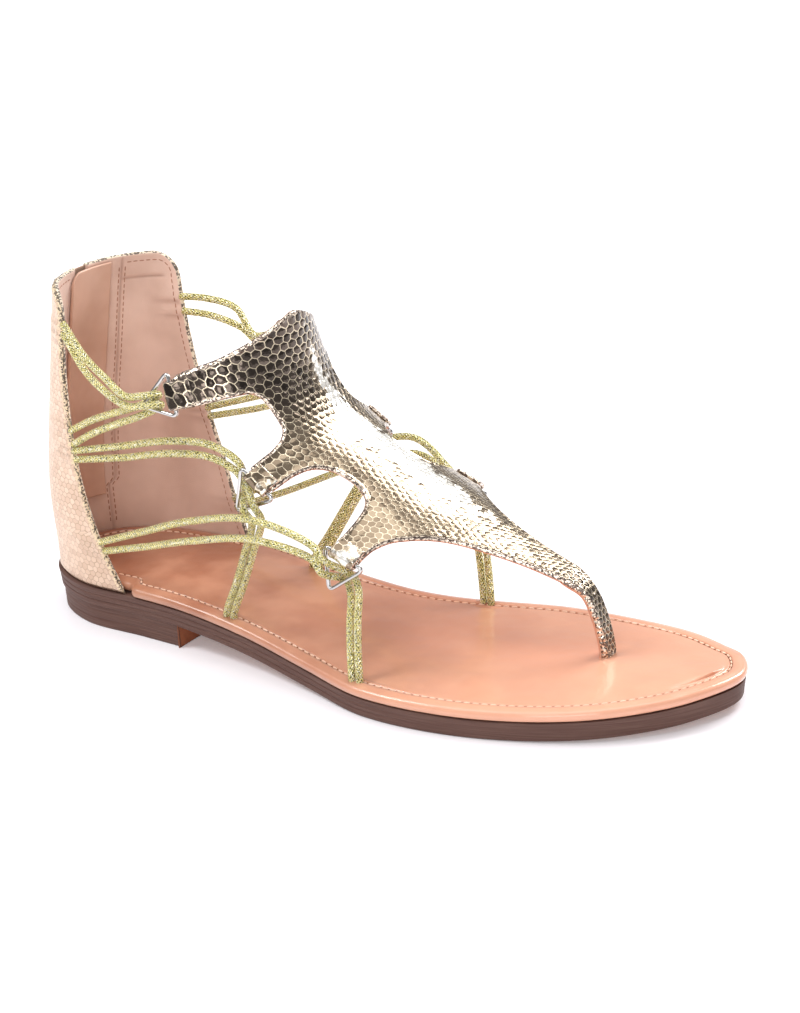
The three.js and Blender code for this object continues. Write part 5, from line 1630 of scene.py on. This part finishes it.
def make_vamp():
    """Vamp: one arched sheet from the ankle's peak to the toe post, its middle layer lifted by products of
    sines, its rims half circles with a bell beside them, and a folded loop round the bar of each ring."""
    surface = Surface()
    along = vamp_rows()
    run = np.where(along <= 1, along * bridge_length, bridge_length + (along - 1) * post_length)
    half = vamp_half(along)
    columns = 2 * ends_dense(91) - 1
    across = half[:, None] * columns[None]
    rows = np.broadcast_to(along[:, None], across.shape)
    lengths = np.broadcast_to(run[:, None], across.shape)
    depth = np.minimum(
        border_distance(lengths, np.abs(across), run, half),
        np.minimum(lengths, run[-1] - lengths),
    )
    depth[:, [0, -1]] = 0
    fold = ease(rows, 0.9, 1.15)
    thick = (VAMP_WALL + (POST_THICKNESS - VAMP_WALL) * fold) / 2
    reach = rounded(depth, thick)
    wave = 0.35 * np.sin(lengths / 9.0 + 1.0) * np.sin(across / 11.0 + lengths / 31.0)
    wave += 0.22 * np.sin(lengths / 4.1 - across / 7.0) * ease(np.abs(across), 14, 30)
    wave *= ease(depth, 1.0, 6.0) * (1 - ease(rows, 0.8, 1.0))
    middle = vamp_point(rows, across, wave)
    normal = unit(vamp_point(rows, across, wave + NORMAL_STEP) - middle)
    roll = 0.22 * bell(depth - 0.9, 0.5) * (depth > 0)
    # Marks: dark is a painted dark reflection on the lobes, glow a painted highlight along the crown.
    sheet(
        surface, middle, normal, reach + roll, reach, scale_cells(rows, across), (0, 1),
        edge=depth, dark=vamp_dark_reflection(rows, across), glow=vamp_painted_highlight(rows, across),
    )
    for ring in RINGS.values():
        for sign in SIDES.values():
            fold_loop(surface, ring, sign)
    return finish_piece(surface, "vamp_look", [FOIL, VAMP_LINING], ["vamp"])


# Size of the vamp's scales in millimetres: place along the spine, height, width.
SCALE_ALONG = (0, 0.12, 0.25, 0.5, 1.0, 2.0)
SCALE_HEIGHT = (2.5, 2.3, 2.25, 2.15, 1.9, 1.8)
SCALE_WIDTH = (3.4, 3.2, 2.7, 2.3, 2.0, 1.9)


def scale_cells(along, across):
    """Texture coordinates of the scales: the length across over the scales' width, and the count of their
    rows, which sums the length along over their height."""
    knots = np.linspace(0, 2, 801)
    steps = np.where(knots[1:] <= 1, bridge_length, post_length) * np.diff(knots)
    count = np.concatenate([[0], np.cumsum(steps / np.interp(knots[1:], SCALE_ALONG, SCALE_HEIGHT))])
    rank = np.interp(along, knots, count)
    return np.stack([across / np.interp(along, SCALE_ALONG, SCALE_WIDTH), rank * HEX_ROW], axis=-1)


def vamp_dark_reflection(along, across):
    """How dark the cells are: full on the upper lobes, where the dark is a painted reflection, gone by the
    middle tab, and again on the post. Smooth steps along the spine, less a bell beside the crown."""
    lobes = 1 - ease(along, 0.17, 0.36)
    towards_crown = 1 - 0.6 * bell(across - 6, 5) * ease(along, 0.05, 0.2)
    post = 0.75 * ease(along, 0.93, 1.05)
    return np.clip(np.maximum(lobes * towards_crown, post), 0, 1)


def vamp_painted_highlight(along, across):
    """How strong the painted highlight along the crown is: a bell across the spine, whose middle, width and
    height are read from tables along it."""
    crown = np.interp(along, (0, 0.06, 0.2, 0.35, 0.5, 0.65, 0.9, 1.2), (0, 5, 7, 8, 8, 6, 2, 0))
    width = np.interp(along, (0, 0.1, 0.25, 0.42, 0.6, 0.75, 0.95), (1.5, 2.5, 5.5, 9.5, 8.5, 6, 2))
    strength_at = (0, 0.08, 0.22, 0.4, 0.62, 0.8, 0.95, 1.1)
    strength = np.interp(along, strength_at, (0.3, 0.4, 0.75, 1, 0.85, 0.35, 0.1, 0.0))
    return strength * bell(across - crown, width)


def fold_loop(surface, ring, sign):
    """The tab's end folded round a ring's bar: a band that lies on the tab's top, turns round the bar in
    half a circle, and comes back beneath. It follows the vamp's own rows, at an even width in millimetres."""
    back = ring["fold"]
    is_smooth = back > LONGEST_SHORT_FOLD
    radius = WIRE_RADIUS + SEAM + LOOP_CLEARANCE + LOOP_WALL / 2
    reach = ring_reach(ring)
    turn = np.linspace(math.pi / 2, -math.pi / 2, 25)
    lay = VAMP_WALL / 2 + LOOP_WALL / 2
    top_across = reach - back + (back - 0.05) * ends_dense(19)[:-1]
    sunk = LOOP_WALL * 0.9 * (1 - ease(top_across, reach - back, reach - 1.0)) if is_smooth else 0.0
    top_off = lay + (radius - lay) * ease(top_across, reach - 3.0, reach) - sunk
    turn_across = reach + radius * np.cos(turn)
    turn_off = radius * np.sin(turn)
    path_across = np.concatenate([top_across, turn_across, top_across[::-1]])
    path_off = np.concatenate([top_off, turn_off, -top_off[::-1]])
    shown = sign * np.minimum(path_across, reach)[:, None]
    nearby = 0.002
    ahead = vamp_point(np.full(shown.shape, ring["along"] + nearby), shown, 0.0)
    behind = vamp_point(np.full(shown.shape, ring["along"] - nearby), shown, 0.0)
    stretch = np.linalg.norm(ahead - behind, axis=-1) / (2 * nearby)
    half_width = 0.56 * LOOP_LENGTH
    rows = ring["along"] + half_width / stretch * (2 * ends_dense(31) - 1)[None]
    shown = shown + 0 * rows
    base = vamp_point(rows, shown, 0.0)
    normal = unit(vamp_point(rows, shown, 1.0) - base)
    outward = unit(base - vamp_point(rows, shown - sign * 0.5, 0.0))
    beyond = np.maximum(path_across - reach, 0)[:, None, None]
    middle = base + outward * beyond + normal * path_off[:, None, None]
    depth = border_depth(middle)
    down, along = np.indices(depth.shape)
    crumple = 0.12 * np.sin(along / 2.1) * np.cos(down / 5.0)
    half = rounded(depth, LOOP_WALL / 2) + crumple * (depth > 0.6)
    # The upper ring's loop takes the painted dark reflection, the other loops a painted highlight.
    dark = 1.0 if is_smooth else 0.1
    sheet(
        surface, middle, grid_normals(middle) * -sign, half, half,
        scale_cells(rows, sign * path_across[:, None] + 0 * rows), (0, 0),
        edge=depth + 0.6, dark=dark, glow=0.5 - 0.5 * dark,
    )


def make_ring(name, side):
    """Wire ring: an even triangle in the ring's plane as a closed tube, each corner a square curve between
    the places where it leaves the straight sides."""
    ring = ring_frame(RINGS[name], SIDES[side])
    t = np.linspace(0, 1, 14)[:, None]
    s = np.linspace(0, 1, 12)[1:-1, None]
    points = []
    for i, corner in enumerate(RING_CORNERS):
        before = RING_CORNERS[i - 1]
        after = RING_CORNERS[(i + 1) % 3]
        start = corner + (before - corner) * RING_CORNER / RING_SIDE
        end = corner + (after - corner) * RING_CORNER / RING_SIDE
        far = after + (corner - after) * RING_CORNER / RING_SIDE
        points.append((1 - t) ** 2 * start + 2 * t * (1 - t) * corner + t**2 * end)
        points.append(end + (far - end) * s)
    flat = np.vstack(points)
    path = ring["origin"] + ring["bar"] * flat[:, :1] + ring["pull"] * flat[:, 1:]
    surface = Surface()
    tube(surface, path, WIRE_RADIUS, 16, closed=True)
    return finish_piece(surface, f"ring_{name}_{side}_look", [NICKEL], [f"ring_{name}_{side}"])


def make_cord(node_name, route, ends_in_counter):
    """Elastic cord: a braided tube along the spline through its route, its first end run on into the
    counter's edge, and its last one too where it ends in the counter."""
    points = np.array(route)
    run_in = CORD_START + 0.9
    points = np.vstack([points[0] + unit(points[0] - points[1]) * run_in, points])
    if ends_in_counter:
        points = np.vstack([points, points[-1] + unit(points[-1] - points[-2]) * run_in])
    curve, length = by_length(spline(points))
    path = curve(np.linspace(0, 1, int(length / CORD_STEP) + 1))
    surface = Surface()
    tube(surface, path, CORD_RADIUS)
    piece = finish_piece(surface, f"{node_name}_look", [CORD], [node_name])


def make_cords():
    """The twelve cords: three doubled runs on each side, the upper one back to the counter and the other
    two down through a ring."""
    for side in SIDES:
        for which in (0, 1):
            make_cord(f"cord_upper_{side}_{which + 1}", upper_route(which, side), True)
            for ring_name, drop in DROPS.items():
                route = dropping_route(which, side, ring_name, *drop)
                make_cord(f"cord_{ring_name}_{side}_{which + 1}", route, False)


def make_stage():
    """Pale plain floor, lit from itself more and more with the distance from the shoe."""
    half = 4.0
    mesh = bpy.data.meshes.new("floor")
    corners = [(-half, -half, 0), (half, -half, 0), (half, half, 0), (-half, half, 0)]
    mesh.from_pydata(corners, [], [(0, 1, 2, 3)])
    floor = bpy.data.objects.new("floor", mesh)
    bpy.context.scene.collection.objects.link(floor)
    material, tree, shader = new_material("floor")
    place = node(tree, "ShaderNodeTexCoord").outputs["Object"]
    away = vectors(tree, "DISTANCE", place, (0.1, 0.0, 0.0)).outputs["Value"]
    glow = step(tree, away, 0.05, 0.8, 0.17, 0.8)
    fill_inputs(tree, shader, {"Emission Strength": glow, "Emission Color": (1.0, 1.0, 1.0)})
    fill_inputs(tree, shader, {"Base Color": (0.90, 0.88, 0.92), "Roughness": 0.22})
    fill_inputs(tree, shader, {"Specular IOR Level": 0.35})
    mesh.materials.append(material)


def area_light(name, place, target, size, power):
    """A square soft light at a place, aimed at a target."""
    data = bpy.data.lights.new(name, "AREA")
    data.energy = power
    data.size = size
    lamp = bpy.data.objects.new(name, data)
    lamp.location = place
    lamp.rotation_mode = "QUATERNION"
    lamp.rotation_quaternion = (Vector(target) - Vector(place)).to_track_quat("-Z", "Y")
    bpy.context.scene.collection.objects.link(lamp)


def make_world():
    """Even sky: dim as a light, so that metal has something dark to reflect, and white where it is seen."""
    world = bpy.data.worlds.new("studio")
    world.use_nodes = True
    tree = world.node_tree
    background = tree.nodes["Background"]
    background.inputs["Color"].default_value = (1.0, 0.99, 1.0, 1.0)
    seen = node(tree, "ShaderNodeLightPath").outputs["Is Camera Ray"]
    tree.links.new(maths(tree, "MULTIPLY_ADD", seen, 0.70, 0.35), background.inputs["Strength"])
    bpy.context.scene.world = world
    bpy.context.scene.view_settings.view_transform = "Standard"


def make_lights():
    """Soft studio light: a wide lamp above, a strong one beyond the shoe that makes the crown shine, and
    fills from the heel's side and the front."""
    middle = (0.09, 0.0, 0.04)
    area_light("top", (0.05, -0.1, 1.4), middle, 1.4, 11.0)
    area_light("beyond", (0.38, 0.98, 0.86), middle, 0.65, 14.0)
    area_light("heel_side", (-0.50, -0.45, 0.90), middle, 0.4, 5.5)
    area_light("front", (0.75, -1.25, 0.60), middle, 0.7, 7.0)


def make_camera():
    """Camera at the photograph's place and roll, aimed at the middle of the shoe."""
    azimuth = math.radians(32.839)
    elevation = math.radians(18.889)
    roll = math.radians(-2.828)
    distance = 0.90926
    watched = Vector((0.112108, 0.028715, 0.075392))
    place = watched + distance * Vector((
        math.sin(azimuth) * math.cos(elevation),
        -math.cos(azimuth) * math.cos(elevation),
        math.sin(elevation),
    ))
    aim = Vector((0.1028, 0.0059, 0.0482))
    back = (place - aim).normalized()
    right = Vector((-back.y, back.x, 0)).normalized()
    up = back.cross(right)
    side = right * math.cos(roll) + up * math.sin(roll)
    head = up * math.cos(roll) - right * math.sin(roll)
    data = bpy.data.cameras.new("camera")
    data.sensor_width = 36
    data.lens = 103
    camera = bpy.data.objects.new("camera", data)
    bpy.context.scene.collection.objects.link(camera)
    turn = Matrix((side, head, back)).transposed().to_4x4()
    camera.matrix_world = Matrix.Translation(place) @ turn
    bpy.context.scene.camera = camera


make_outsole()
make_footbed()
make_counter()
make_guard()
make_tape()
make_slider()
make_pull()
make_vamp()
for ring_name in RINGS:
    for ring_side in SIDES:
        make_ring(ring_name, ring_side)
make_cords()
make_stage()
make_world()
make_lights()
make_camera()
